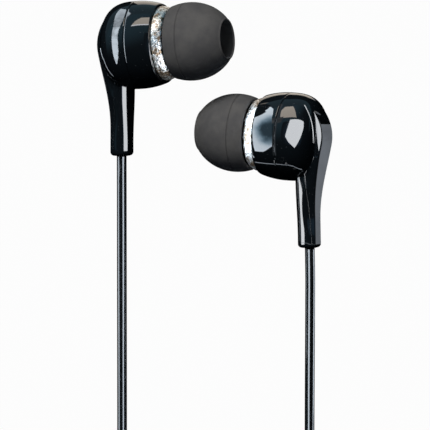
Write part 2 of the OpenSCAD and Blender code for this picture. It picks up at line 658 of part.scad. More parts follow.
// Round tube along a route that begins and ends in the given directions, with square ends
module tube(route, d, sides, begin, end) {
    n = len(route);
    points = [for (i = [0:n - 1])
        let (t = i == 0 ? begin : i == n - 1 ? end : unit(route[i + 1] - route[i - 1]))
        let (s = unit(cross(t, [0, 0, 1])), u = cross(s, t))
        for (k = [0:sides - 1]) let (q = 360 * (k + 0.5) / sides)
            route[i] + d / 2 * (cos(q) * s + sin(q) * u)];
    walls = [for (i = [0:n - 2]) for (k = [0:sides - 1])
        let (a = i * sides + k, b = i * sides + (k + 1) % sides)
        each [[a, b, b + sides], [a, b + sides, a + sides]]];
    first = [for (k = [1:sides - 2]) [0, k + 1, k]];
    last = [for (k = [1:sides - 2]) [(n - 1) * sides, (n - 1) * sides + k, (n - 1) * sides + k + 1]];
    polyhedron(points, concat(walls, first, last));
}
along = [0, -1, 0];
module cord_tube(route, d, begin, end) color("#1c1f21") tube(route, d, 8, begin, end);
module wound_tube(route, d, begin, end) color("#1c1f21") tube(route, d, 6, begin, end);

// Band round turns that lie between two sides and between two heights, standing along X
module band(low, high, bottom, top) rotate([90, 0, 0]) linear_extrude(height = tie_w, center = true)
    difference() {
        translate([low - tie_gap - tie_t, bottom - tie_gap - tie_t])
            square([high - low + 2 * tie_gap + 2 * tie_t, top - bottom + 2 * tie_gap + 2 * tie_t]);
        translate([low - tie_gap, bottom - tie_gap])
            square([high - low + 2 * tie_gap, top - bottom + 2 * tie_gap]);
    }
module hank_tie(run, lane, side) {
    reach_a = hank_rho(0.125) - hank_waist + cord_z;
    reach_b = hank_rho(0.625) - hank_waist + cord_z;
    mid = lane + side * hank_out;
    color("#141617") translate([mid, hank_start - run / 2, 0]) band(side > 0 ? -reach_a : -reach_b,
        side > 0 ? reach_b : reach_a, tie_lift, tie_lift + branch_d + hank_rise);
}
module main_coil_tie() color("#141617") translate([coil_x, coil_y, 0]) rotate([0, 0, tie_angle])
    band(coil_inner_r - main_z, coil_inner_r + coil_step * coil_turns + main_z, tie_lift,
        tie_lift + main_d + 3 * coil_rise);

module splitter() color("#1a1c1e") intersection() {
    translate([splitter_x, splitter_y, 0]) linear_extrude(height = splitter_t) polygon([
        [-splitter_wide / 2 + 0.6, 0], [splitter_wide / 2 - 0.6, 0], [splitter_wide / 2, -0.6],
        [splitter_wide / 2, -4], [splitter_narrow / 2, -splitter_len + 0.6],
        [splitter_narrow / 2 - 0.6, -splitter_len], [0.6 - splitter_narrow / 2, -splitter_len],
        [-splitter_narrow / 2, -splitter_len + 0.6], [-splitter_wide / 2, -4], [-splitter_wide / 2, -0.6]]);
    translate([splitter_x, splitter_y, 0]) rotate([90, 0, -90]) linear_extrude(height = 10, center = true)
        polygon([[0, 0.6], [0.6, 0], [splitter_len - 0.6, 0], [splitter_len, 0.6],
            [splitter_len, splitter_t - 0.6], [splitter_len - 0.6, splitter_t], [0.6, splitter_t],
            [0, splitter_t - 0.6]]);
}

// Plug pieces are turned about the plug's axis, which runs towards -Y from the strain relief
module on_plug(at) translate([plug_x, plug_y - at, grip_r]) rotate([90, 0, 0]) children();
sleeve_len = pin_len - 2 * insulator_w - ring_contact_len - tip_contact_len;
grip_at = relief_len;
pin_at = grip_at + grip_len;
rear_insulator_at = pin_at + sleeve_len;
ring_at = rear_insulator_at + insulator_w;
front_insulator_at = ring_at + ring_contact_len;
tip_contact_at = front_insulator_at + insulator_w;
relief_grooves = 3;
module plug_relief() color("#17191a") on_plug(0) difference() {
    turned([[0, 0], [0, main_z + 0.4], [relief_len, main_z + 1.1], [relief_len, 0]]);
    for (i = [1:relief_grooves])
        tube_on(relief_len * (i - 0.4) / (relief_grooves + 0.4), 0.6, grip_r, main_z + 0.3);
}
module plug_grip() color("#1a1c1e") on_plug(grip_at) turned([[0, 0], [0, grip_r - 0.5], [0.5, grip_r],
    [grip_len - 1, grip_r], [grip_len, grip_r - 0.6], [grip_len, 0]]);
module plug_sleeve() color("#c9c5bb") on_plug(pin_at) disc_on(0, sleeve_len, pin_r);
module plug_rear_insulator() color("#1a1a1a") on_plug(rear_insulator_at) disc_on(0, insulator_w, pin_r);
module plug_ring() color("#c9c5bb") on_plug(ring_at) disc_on(0, ring_contact_len, pin_r);
module plug_front_insulator() color("#1a1a1a") on_plug(front_insulator_at) disc_on(0, insulator_w, pin_r);
module plug_tip() color("#c9c5bb") on_plug(tip_contact_at) turned([[0, 0], [0, pin_r], [0.5, pin_r],
    [0.4 * tip_contact_len, tip_neck_r], [0.6 * tip_contact_len, pin_r - 0.15],
    [0.9 * tip_contact_len, 0.5 * pin_r], [tip_contact_len, 0.25 * pin_r], [tip_contact_len, 0]]);

// ---------------------------------------------------------------- laying the earpieces down
module lay_right() translate(right_place) rotate([stem_droop, 0, 0]) rotate([0, right_spin, 0])
    rotate([-90, 0, 0]) children();
module lay_left() translate(left_place) rotate([0, 0, left_swing]) rotate([stem_droop, 0, 0])
    rotate([0, left_spin, 0]) rotate([-90, 0, 0]) children();

lay_right() front_shell();  // right_front_shell
lay_right() rear_shell();  // right_rear_shell
lay_right() back_cover();  // right_back_cover
lay_right() trim_ring();  // right_trim_ring
lay_right() nozzle();  // right_nozzle
lay_right() nozzle_mesh();  // right_nozzle_mesh
lay_right() ear_tip();  // right_ear_tip
lay_right() driver_frame();  // right_driver_frame
lay_right() yoke();  // right_yoke
lay_right() magnet();  // right_magnet
lay_right() top_plate();  // right_top_plate
lay_right() voice_coil();  // right_voice_coil
lay_right() diaphragm();  // right_diaphragm
lay_right() surround();  // right_surround
lay_right() driver_cover();  // right_driver_cover
lay_right() terminal_board();  // right_terminal_board
lay_right() cable_clamp();  // right_cable_clamp
lay_right() inner_lead();  // right_inner_lead
cord_tube(right_cord_route, branch_d, right_out, along);  // right_cord
wound_tube(right_hank_route, branch_d, along, along);  // right_hank
hank_tie(right_run, right_lane, 1);  // right_hank_tie
cord_tube(right_lead_route, branch_d, along, along);  // right_lead
lay_left() front_shell();  // left_front_shell
lay_left() rear_shell();  // left_rear_shell
lay_left() back_cover();  // left_back_cover
lay_left() trim_ring();  // left_trim_ring
lay_left() nozzle();  // left_nozzle
lay_left() nozzle_mesh();  // left_nozzle_mesh
lay_left() ear_tip();  // left_ear_tip
lay_left() driver_frame();  // left_driver_frame
lay_left() yoke();  // left_yoke
lay_left() magnet();  // left_magnet
lay_left() top_plate();  // left_top_plate
lay_left() voice_coil();  // left_voice_coil
lay_left() diaphragm();  // left_diaphragm
lay_left() surround();  // left_surround
lay_left() driver_cover();  // left_driver_cover
lay_left() terminal_board();  // left_terminal_board
lay_left() cable_clamp();  // left_cable_clamp
lay_left() inner_lead();  // left_inner_lead
cord_tube(left_cord_route, branch_d, left_out, along);  // left_cord
wound_tube(left_hank_route, branch_d, along, along);  // left_hank
hank_tie(left_run, left_lane, -1);  // left_hank_tie
cord_tube(left_lead_route, branch_d, along, along);  // left_lead
splitter();
cord_tube(lead_in_route, main_d, along, coil_in);  // main_lead_in
wound_tube(coil_route, main_d, coil_in, coil_out);  // main_coil
main_coil_tie();
cord_tube(lead_out_route, main_d, coil_out, along);  // main_lead_out
plug_relief();
plug_grip();
plug_sleeve();
plug_rear_insulator();
plug_ring();
plug_front_insulator();
plug_tip();
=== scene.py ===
import logging
from collections.abc import Callable
from dataclasses import dataclass
from enum import Enum
from functools import cache
from math import cos, floor, pi, radians, sin, sqrt, tan

import bmesh
import bpy
from mathutils import Matrix, Vector


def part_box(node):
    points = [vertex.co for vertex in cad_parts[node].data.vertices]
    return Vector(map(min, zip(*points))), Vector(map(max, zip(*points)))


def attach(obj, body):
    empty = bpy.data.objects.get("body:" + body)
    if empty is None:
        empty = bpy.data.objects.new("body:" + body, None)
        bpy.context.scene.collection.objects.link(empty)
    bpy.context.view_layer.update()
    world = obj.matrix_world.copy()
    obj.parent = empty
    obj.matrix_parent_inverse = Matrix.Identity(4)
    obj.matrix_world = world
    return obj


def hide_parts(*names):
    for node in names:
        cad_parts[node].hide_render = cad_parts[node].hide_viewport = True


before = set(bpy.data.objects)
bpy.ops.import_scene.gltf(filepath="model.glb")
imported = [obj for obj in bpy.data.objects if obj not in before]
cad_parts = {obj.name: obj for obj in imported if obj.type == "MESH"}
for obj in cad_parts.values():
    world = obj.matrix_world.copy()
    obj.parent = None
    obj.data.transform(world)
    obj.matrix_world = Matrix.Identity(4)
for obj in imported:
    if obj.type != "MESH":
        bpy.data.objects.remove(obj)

MM = 0.001
WELD = 1e-4  # millimetres within which points of a mesh become one
FINE = 160  # segments round the ring and the ear tip
LOG = logging.getLogger("earphones")
Outline = list[tuple[float, float]]
Corner = tuple[float, ...]
Colour = tuple[float, float, float]
Place = tuple[float, float, float]
Mesh = bmesh.types.BMesh
Piece = bpy.types.Object
Node = bpy.types.Node
Socket = bpy.types.NodeSocket


class Side(Enum):
    """The ear that a piece belongs to."""

    RIGHT = "right"
    LEFT = "left"


class Body(Enum):
    """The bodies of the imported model."""

    SET = "set"
    RIGHT_TIP = "right_tip"
    LEFT_TIP = "left_tip"


# ---------------------------------------------------------------- shader nodes
@dataclass(frozen=True)
class Graph:
    """A node tree with short ways to add and join its nodes."""

    tree: bpy.types.NodeTree

    def feed(self, socket: Socket, value: object) -> None:
        """Sets an input, or links it if the value is a socket."""
        if isinstance(value, Socket):
            self.tree.links.new(value, socket)
        else:
            socket.default_value = value

    def fill(self, node: Node, **inputs: object) -> Node:
        """Sets or links inputs of a node.

        Args:
            node: The node.
            inputs: Input names with underscores for spaces, each a value or a socket to link.

        Returns:
            The node.
        """
        for key, value in inputs.items():
            self.feed(node.inputs[key.replace("_", " ")], value)
        return node

    def add(self, kind: str, *first: object, settings: dict | None = None, **inputs: object) -> Node:
        """Adds a shader node and fills its inputs.

        Args:
            kind: Node type without its "ShaderNode" prefix.
            first: Values or sockets for its first inputs, in their order.
            settings: Properties of the node.
            inputs: Further inputs, as in fill.

        Returns:
            The new node.
        """
        node = self.tree.nodes.new("ShaderNode" + kind)
        for key, value in (settings or {}).items():
            setattr(node, key, value)
        for socket, value in zip(node.inputs, first):
            self.feed(socket, value)
        return self.fill(node, **inputs)

    def place(self) -> Socket:
        """Place on the object, in its own axes."""
        return self.add("TexCoord").outputs["Object"]

    def stretch(self, scale: Place) -> Socket:
        """Place on the object, scaled along its axes."""
        return self.add("Mapping", Vector=self.place(), Scale=scale).outputs["Vector"]

    def noise(self, scale: object, detail: float, roughness: float = 0.5, at: Socket | None = None) -> Socket:
        """Cloudy noise.

        Args:
            scale: Clouds per metre, a value or a socket.
            detail: Number of finer layers.
            roughness: Weight of the finer layers.
            at: Where it is read, if not at the place on the object.

        Returns:
            The noise, about 0.5 on average.
        """
        node = self.add("TexNoise", Vector=self.place() if at is None else at, Scale=scale, Detail=detail,
                        Roughness=roughness)
        return node.outputs["Fac"]

    def waves(self, direction: str, scale: object, distortion: float, detail: float) -> Socket:
        """Even waves.

        Args:
            direction: Axis, or DIAGONAL.
            scale: Scale from wave_scale, a value or a socket.
            distortion: How far the waves wander.
            detail: Number of finer layers in that.

        Returns:
            The waves, from 0 to 1.
        """
        node = self.add("TexWave", settings={"bands_direction": direction}, Vector=self.place(), Scale=scale,
                        Distortion=distortion, Detail=detail)
        return node.outputs["Fac"]

    def math(self, operation: str, *values: object) -> Socket:
        """Result of arithmetic on values or sockets."""
        return self.add("Math", *values, settings={"operation": operation}).outputs["Value"]

    def distance(self, middle: Vector) -> Socket:
        """Distance of the place on the object from a point."""
        node = self.add("VectorMath", self.place(), middle, settings={"operation": "DISTANCE"})
        return node.outputs["Value"]

    def ramp(self, value: Socket, low: float, high: float, to_low: float = 0.0,
             to_high: float = 1.0) -> Socket:
        """Maps a value from one range to another, smoothly and within its ends.

        Args:
            value: Socket to map.
            low: Input at the low end.
            high: Input at the high end.
            to_low: Output at the low end.
            to_high: Output at the high end.

        Returns:
            The mapped socket.
        """
        node = self.add("MapRange", settings={"interpolation_type": "SMOOTHSTEP"}, Value=value, From_Min=low,
                        From_Max=high, To_Min=to_low, To_Max=to_high)
        return node.outputs["Result"]

    def blend(self, mask: Socket, first: Colour, second: Colour) -> Socket:
        """Mixes two colours.

        Args:
            mask: Share of the second colour.
            first: Colour where the mask is 0.
            second: Colour where the mask is 1.

        Returns:
            The mixed colour.
        """
        node = self.add("Mix", mask, settings={"data_type": "RGBA"})
        for name, colour in (("A", first), ("B", second)):
            socket = [s for s in node.inputs if s.name == name and s.type == "RGBA"][0]
            socket.default_value = (*colour, 1.0)
        return [s for s in node.outputs if s.type == "RGBA"][0]

    def bump(self, height: Socket, strength: object, depth: object) -> Socket:
        """Normal of a surface that rises with a height."""
        return self.add("Bump", Strength=strength, Distance=depth, Height=height).outputs["Normal"]

    def either(self, mask: Socket, first: Socket, second: Socket) -> Socket:
        """Shader that is the first where the mask is 0 and the second where it is 1."""
        return self.add("MixShader", mask, first, second).outputs["Shader"]

    def group(self, tree: bpy.types.NodeTree, **values: float) -> dict[str, Socket]:
        """Places a node group with its own values.

        Args:
            tree: The group.
            values: Input values by name.

        Returns:
            The group's outputs by name.
        """
        node = self.add("Group", settings={"node_tree": tree})
        self.fill(node, **values)
        return {socket.name: socket for socket in node.outputs}


def painted(name: str) -> tuple[bpy.types.Material, Graph]:
    """Makes an empty node material.

    Args:
        name: Name of the material.

    Returns:
        The material and its node tree.
    """
    made = bpy.data.materials.new(name)
    made.use_nodes = True
    made.node_tree.nodes.clear()
    return made, Graph(made.node_tree)


def grouped(name: str, inputs: dict[str, float], outputs: dict[str, str]) -> tuple[Graph, Node, Node]:
    """Starts a shader node group.

    Args:
        name: Name of the group.
        inputs: Usual value by input name.
        outputs: Socket kind by output name.

    Returns:
        The group, its input node and its output node.
    """
    tree = bpy.data.node_groups.new(name, "ShaderNodeTree")
    for key, value in inputs.items():
        socket = tree.interface.new_socket(name=key, in_out="INPUT", socket_type="NodeSocketFloat")
        socket.default_value = value
    for key, kind in outputs.items():
        tree.interface.new_socket(name=key, in_out="OUTPUT", socket_type="NodeSocket" + kind)
    return Graph(tree), tree.nodes.new("NodeGroupInput"), tree.nodes.new("NodeGroupOutput")


def wave_scale(pitch: float) -> float:
    """Scale of a wave texture whose waves have a pitch in metres."""
    return pi / (10.0 * pitch)


@cache
def grain_group() -> bpy.types.NodeTree:
    """Fine moulded grain: cloudy mottle, small pits and their normal.

    Returns:
        The node group, built once.
    """
    graph, inside, out = grouped("fine_grain", {"Scale": 1500.0, "Strength": 0.2, "Depth": 0.00002},
                                 {"Mottle": "Float", "Pits": "Float", "Normal": "Vector"})
    fine = graph.noise(inside.outputs["Scale"], 3.0, 0.7)
    graph.fill(out, Mottle=graph.ramp(graph.noise(260.0, 4.0, 0.6), 0.3, 0.7),
               Pits=graph.ramp(fine, 0.35, 0.65),
               Normal=graph.bump(fine, inside.outputs["Strength"], inside.outputs["Depth"]))
    return graph.tree


@cache
def handling_group() -> bpy.types.NodeTree:
    """Traces of handling on gloss: soft smudges and specks of dust.

    Returns:
        The node group, built once.
    """
    graph, inside, out = grouped("handling", {"Smudges": 180.0, "Specks": 1400.0},
                                 {"Smudge": "Float", "Dust": "Float"})
    smudges = graph.noise(inside.outputs["Smudges"], 5.0, 0.65)
    specks = graph.add("TexVoronoi", Vector=graph.place(), Scale=inside.outputs["Specks"])
    graph.fill(out, Smudge=graph.ramp(smudges, 0.42, 0.72),
               Dust=graph.ramp(specks.outputs["Distance"], 0.11, 0.07))
    return graph.tree


@cache
def turning_group() -> bpy.types.NodeTree:
    """Turned metal: fine marks, their normal and patches of wear.

    Returns:
        The node group, built once.
    """
    graph, inside, out = grouped("turning", {"Strength": 0.15, "Depth": 0.00001},
                                 {"Marks": "Float", "Wear": "Float", "Normal": "Vector"})
    marks = graph.noise(12.0, 3.0, at=graph.stretch((40.0, 900.0, 40.0)))
    graph.fill(out, Marks=marks, Wear=graph.ramp(graph.noise(600.0, 5.0, 0.65), 0.45, 0.7),
               Normal=graph.bump(marks, inside.outputs["Strength"], inside.outputs["Depth"]))
    return graph.tree


@cache
def weave_group() -> bpy.types.NodeTree:
    """Weave of crossing strands: their height and its normal.

    Returns:
        The node group, built once.
    """
    graph, inside, out = grouped("weave", {"Scale": 1000.0, "Depth": 0.00005},
                                 {"Height": "Float", "Normal": "Vector"})
    height = graph.math("MAXIMUM", *(graph.waves(axis, inside.outputs["Scale"], 0.15, 0.0)
                                     for axis in ("X", "Y")))
    graph.fill(out, Height=height, Normal=graph.bump(height, 0.6, inside.outputs["Depth"]))
    return graph.tree


# ---------------------------------------------------------------- finishes
@dataclass(frozen=True)
class Finish:
    """A finish that several pieces share. Subclasses say how its shader is fed."""

    name: str
    slot: str

    @cache
    def material(self) -> bpy.types.Material:
        """Gives the finish's material.

        Returns:
            The material, built once.
        """
        made = bpy.data.materials.new(self.name)
        made.use_nodes = True
        graph = Graph(made.node_tree)
        graph.fill(made.node_tree.nodes["Principled BSDF"], **self.inputs(graph))
        return made

    def inputs(self, graph: Graph) -> dict[str, object]:
        """Values or sockets for the shader's inputs, by name."""
        raise NotImplementedError


@dataclass(frozen=True)
class PianoGloss(Finish):
    """Gloss black moulding with faint smudges and dust."""

    colour: Colour = (0.0035, 0.005, 0.0065)
    dust: Colour = (0.03, 0.034, 0.038)
    roughness: float = 0.03
    smudged: float = 0.05
    smudges: float = 180.0
    specks: float = 1400.0

    def inputs(self, graph: Graph) -> dict[str, object]:
        """Feeds the shader from the traces of handling."""
        marks = graph.group(handling_group(), Smudges=self.smudges, Specks=self.specks)
        return {"Base_Color": graph.blend(marks["Dust"], self.colour, self.dust), "IOR": 1.5,
                "Roughness": graph.ramp(marks["Smudge"], 0.0, 1.0, self.roughness,
                                        self.roughness + self.smudged)}


@dataclass(frozen=True)
class Moulded(Finish):
    """Satin or matte plastic and rubber with a fine moulded grain."""

    colour: Colour
    light: Colour
    roughness: float = 0.45
    grain: float = 1500.0
    strength: float = 0.2
    depth: float = 0.00002
    sheen: float = 0.0
    shine: float = 0.5
    smoother: float = 0.05
    rougher: float = 0.07

    def inputs(self, graph: Graph) -> dict[str, object]:
        """Feeds the shader from the grain."""
        grain = graph.group(grain_group(), Scale=self.grain, Strength=self.strength, Depth=self.depth)
        return {"Base_Color": graph.blend(grain["Mottle"], self.colour, self.light),
                "Normal": grain["Normal"],
                "Roughness": graph.ramp(grain["Pits"], 0.0, 1.0, self.roughness - self.smoother,
                                        self.roughness + self.rougher),
                "Sheen_Weight": self.sheen, "Sheen_Roughness": 0.4, "Specular_IOR_Level": self.shine}


@dataclass(frozen=True)
class HammeredMetal(Finish):
    """Bright metal with a fine hammered surface and warm brown patches painted into its colour as
    reflections.
    """

    bright: Colour = (0.86, 0.85, 0.83)
    # colour of the painted reflection patches
    painted_warm_reflection: Colour = (0.26, 0.19, 0.13)
    roughness: float = 0.22
    rougher: float = 0.2
    strength: float = 0.9
    depth: float = 0.00009

    def inputs(self, graph: Graph) -> dict[str, object]:
        """Feeds the shader from dents, crumbs and patches of painted reflection.

        Args:
            graph: Nodes of the material.

        Returns:
            Inputs by name.
        """
        dents = graph.add("TexVoronoi", settings={"feature": "SMOOTH_F1"}, Vector=graph.place(), Scale=2300.0,
                          Smoothness=0.5)
        crumbs = graph.noise(4200.0, 3.0, 0.7)
        height = graph.math("ADD", dents.outputs["Distance"], crumbs)
        # Warm brown patches in the metal's colour: painted reflection.
        reflection_patches = graph.ramp(graph.noise(900.0, 4.0, 0.7), 0.44, 0.58)
        return {"Base_Color": graph.blend(reflection_patches, self.bright, self.painted_warm_reflection), "Metallic": 1.0,
                "Roughness": graph.ramp(crumbs, 0.3, 0.7, self.roughness, self.roughness + self.rougher),
                "Normal": graph.bump(height, self.strength, self.depth)}


@dataclass(frozen=True)
class TurnedMetal(Finish):
    """Plated metal with fine turning marks."""

    colour: Colour = (0.7, 0.69, 0.66)
    worn: Colour = (0.5, 0.47, 0.42)
    roughness: float = 0.16
    rougher: float = 0.14
    strength: float = 0.15
    depth: float = 0.00001

    def inputs(self, graph: Graph) -> dict[str, object]:
        """Feeds the shader from turning marks and wear."""
        turned = graph.group(turning_group(), Strength=self.strength, Depth=self.depth)
        return {"Base_Color": graph.blend(turned["Wear"], self.colour, self.worn), "Metallic": 1.0,
                "Roughness": graph.ramp(turned["Marks"], 0.3, 0.7, self.roughness,
                                        self.roughness + self.rougher),
                "Normal": turned["Normal"]}


@dataclass(frozen=True)
class Woven(Finish):
    """Fine weave of crossing strands, in metal or in fabric, with shade painted darker in the gaps."""

    strand: Colour = (0.34, 0.34, 0.35)
    # gap: colour of the painted shade between the strands
    gap: Colour = (0.01, 0.01, 0.01)
    pitch: float = 0.00028
    metallic: float = 1.0
    roughness: float = 0.35

    def inputs(self, graph: Graph) -> dict[str, object]:
        """Feeds the shader from the weave."""
        weave = graph.group(weave_group(), Scale=wave_scale(self.pitch), Depth=self.pitch * 0.2)
        # Darker where the weave is low: painted shade in the gaps.
        return {"Base_Color": graph.blend(graph.ramp(weave["Height"], 0.5, 0.8), self.gap, self.strand),
                "Roughness": self.roughness, "Metallic": self.metallic, "Normal": weave["Normal"]}


@dataclass(frozen=True)
class WoundWire(Finish):
    """Enamelled copper wire laid turn by turn."""

    colour: Colour = (0.62, 0.26, 0.1)
    shade: Colour = (0.2, 0.07, 0.03)
    pitch: float = 0.0001

    def inputs(self, graph: Graph) -> dict[str, object]:
        """Feeds the shader from the turns."""
        turns = graph.waves("DIAGONAL", wave_scale(self.pitch), 0.4, 1.0)
        return {"Base_Color": graph.blend(graph.ramp(turns, 0.2, 0.8), self.shade, self.colour),
                "Roughness": 0.3, "Metallic": 1.0, "Normal": graph.bump(turns, 0.5, self.pitch * 0.3)}


SHELL = PianoGloss("piano_black_shell", "shell")
COVER = PianoGloss("piano_black_cover", "cover")
RING = HammeredMetal("hammered_ring", "ring_metal")
NOZZLE = Moulded("nozzle_plastic", "nozzle", (0.012, 0.013, 0.015), (0.02, 0.021, 0.023), 0.35)
MESH = Woven("nozzle_mesh_weave", "mesh")
SILICONE = Moulded("tip_silicone", "tip_rubber", (0.054, 0.054, 0.056), (0.074, 0.073, 0.072), 0.85,
                   grain=2600.0, strength=0.7, depth=0.00004, sheen=0.01, shine=0.004)
# A darker copy of the tip's silicone: painted shade deep inside the ear tip's mouth.
THROAT_SHADE = Moulded("tip_throat_painted_shade", "tip_rubber", (0.012, 0.013, 0.014), (0.02, 0.021, 0.022), 0.8,
                 grain=2600.0, strength=0.3, shine=0.03)
FRAME_PLASTIC = Moulded("driver_frame_plastic", "frame_plastic", (0.14, 0.15, 0.16), (0.2, 0.21, 0.22), 0.4)
STEEL = TurnedMetal("plated_steel", "steel", (0.52, 0.52, 0.53), (0.36, 0.35, 0.34), 0.25)
WIRE = WoundWire("enamelled_wire", "copper_wire")
FILM = Moulded("diaphragm_film", "film", (0.52, 0.52, 0.47), (0.62, 0.62, 0.57), 0.3, grain=900.0,
               strength=0.15)
BOARD = Moulded("board_lacquer", "board", (0.02, 0.12, 0.05), (0.035, 0.19, 0.085), 0.35, grain=2200.0)
STRAIN = Moulded("relief_sheath", "strain_rubber", (0.014, 0.014, 0.016), (0.022, 0.022, 0.024), 0.5)
CORD = Moulded("cord_sheath", "cord_rubber", (0.004, 0.005, 0.006), (0.007, 0.0085, 0.01), 0.13, grain=2400.0,
               strength=0.012)
# The tie's second colour is painted shade between its strands.
TIE = Woven("tie_weave", "tie_plastic", (0.022, 0.022, 0.024), (0.004, 0.004, 0.004), 0.0004, 0.0, 0.7)
BLACK = Moulded("grip_moulding", "black_plastic", (0.012, 0.013, 0.014), (0.018, 0.019, 0.021), 0.38)
CONTACT = TurnedMetal("plated_contact", "contact_metal")
INSULATOR = Moulded("insulator_plastic", "insulator", (0.008, 0.008, 0.008), (0.014, 0.014, 0.014), 0.4)


# ---------------------------------------------------------------- mesh helpers
def spun(outline: Outline, closed: bool = False, steps: int = 128) -> Mesh:
    """Turns an outline of (distance along X, radius) about the X axis.

    Args:
        outline: Points of the outline, its ends on the axis or, if closed, all off it.
        closed: Whether the last point joins the first.
        steps: Segments round the axis.

    Returns:
        A closed mesh with outward normals.
    """
    bm = bmesh.new()
    line = [bm.verts.new((along, 0.0, radius)) for along, radius in outline]
    edges = [bm.edges.new(pair) for pair in zip(line, line[1:])]
    if closed:
        edges.append(bm.edges.new((line[-1], line[0])))
    bmesh.ops.spin(bm, geom=line + edges, cent=(0, 0, 0), axis=(1, 0, 0), angle=2 * pi, steps=steps,
                   use_merge=True)
    bmesh.ops.remove_doubles(bm, verts=bm.verts, dist=WELD)
    bmesh.ops.dissolve_degenerate(bm, dist=WELD / 10, edges=bm.edges)
    bmesh.ops.recalc_face_normals(bm, faces=bm.faces)
    return bm


def rounded(corners: list[Corner], per: int = 7, holds: Corner = (0.06, 0.5, 0.94)) -> Outline:
    """Rounds a closed outline's corners, with the same number of points whatever its shape.

    Args:
        corners: Points with the size of the rounding at each, or its sizes before and after the point.
        per: Points on each rounding.
        holds: Places of the extra points on each straight part, which keep it flat.

    Returns:
        The points of the rounded outline.
    """
    arcs, points = [], []
    count = len(corners)
    for i, (x, y, *sizes) in enumerate(corners):
        here = Vector((x, y))
        arms = []
        for other, size in ((corners[i - 1], sizes[0]), (corners[(i + 1) % count], sizes[-1])):
            arm = Vector(other[:2]) - here
            arms.append(arm.normalized() * min(size, 0.45 * arm.length))
        arcs.append([here + arms[0] * (1 - t) ** 2 + arms[1] * t * t
                     for t in (k / (per - 1) for k in range(per))])
    for i, arc in enumerate(arcs):
        after = arcs[(i + 1) % count][0]
        points += arc + [arc[-1].lerp(after, hold) for hold in holds]
    return [(p.x, p.y) for p in points]


def mirrored(half_side: list[Corner]) -> list[Corner]:
    """Adds the other half of a section that is the same on both sides."""
    return half_side + [(u, -v, *reversed(sizes)) for u, v, *sizes in reversed(half_side)]


def lofted(rings: list[list[Vector]]) -> Mesh:
    """Wraps a sheet through rings of points and closes its ends.

    Args:
        rings: Rings with the same number of points, in order.

    Returns:
        A closed mesh with outward normals.
    """
    around, rows = len(rings[0]), len(rings) - 1
    bm = bmesh.new()
    bmesh.ops.create_grid(bm, x_segments=around, y_segments=rows, size=0.5)
    for vert in bm.verts:
        place = round((vert.co.x + 0.5) * around) % around
        vert.co = rings[round((vert.co.y + 0.5) * rows)][place]
    bmesh.ops.remove_doubles(bm, verts=bm.verts, dist=WELD)
    bmesh.ops.holes_fill(bm, edges=bm.edges, sides=0)
    bmesh.ops.recalc_face_normals(bm, faces=bm.faces)
    return bm


def shown(name: str, data: bpy.types.ID) -> Piece:
    """Puts an object with its data into the scene.

    Args:
        name: Name of the object.
        data: Its mesh, curve, camera or lamp.

    Returns:
        The object.
    """
    made = bpy.data.objects.new(name, data)
    bpy.context.scene.collection.objects.link(made)
    return made


def meshed(name: str, bm: Mesh, material: bpy.types.Material) -> Piece:
    """Makes an object of a mesh.

    Args:
        name: Name of the object.
        bm: The mesh, which is used up.
        material: Its material.

    Returns:
        The object.
    """
    mesh = bpy.data.meshes.new(name)
    bm.to_mesh(mesh)
    bm.free()
    mesh.materials.append(material)
    return shown(name, mesh)


def finished(name: str, bm: Mesh, place: Matrix, finish: Finish, body: Body, nodes: tuple[str, ...] = (),
             sharp: float = 38.0) -> Piece:
    """Makes a piece of a mesh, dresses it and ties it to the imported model.

    Args:
        name: Name of the piece.
        bm: Its mesh, in its own axes.
        place: Matrix from those axes to the frame.
        finish: Its finish.
        body: Body that it rides on.
        nodes: CAD nodes that it stands for.
        sharp: Least angle in degrees that stays a sharp edge.

    Returns:
        The piece.
    """
    bm.transform(place)
    made = meshed(name, bm, finish.material())
    made.data.polygons.foreach_set("use_smooth", [True] * len(made.data.polygons))
    made.data.set_sharp_from_angle(angle=radians(sharp))
    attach(made, body.value)
    if nodes:
        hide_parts(*nodes)
    LOG.info("piece %s: %d faces, %s", name, len(made.data.polygons), finish.name)
    return made


def dress_node(name: str, finish: Finish) -> None:
    """Gives a CAD node its finish.

    Args:
        name: Name of the node.
        finish: Its finish.
    """
    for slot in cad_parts[name].material_slots:
        slot.material = finish.material()
    LOG.info("node %s: %s", name, finish.name)


# ---------------------------------------------------------------- the earpieces
def ease(place: float, low: float, high: float, at_low: float, at_high: float) -> float:
    """Smooth change from one value to another.

    Args:
        place: Where it is read.
        low: Place where the change starts.
        high: Place where it ends.
        at_low: Value below.
        at_high: Value above.

    Returns:
        The value.
    """
    s = min(1.0, max(0.0, (place - low) / (high - low)))
    return at_low + (at_high - at_low) * s * s * (3 - 2 * s)


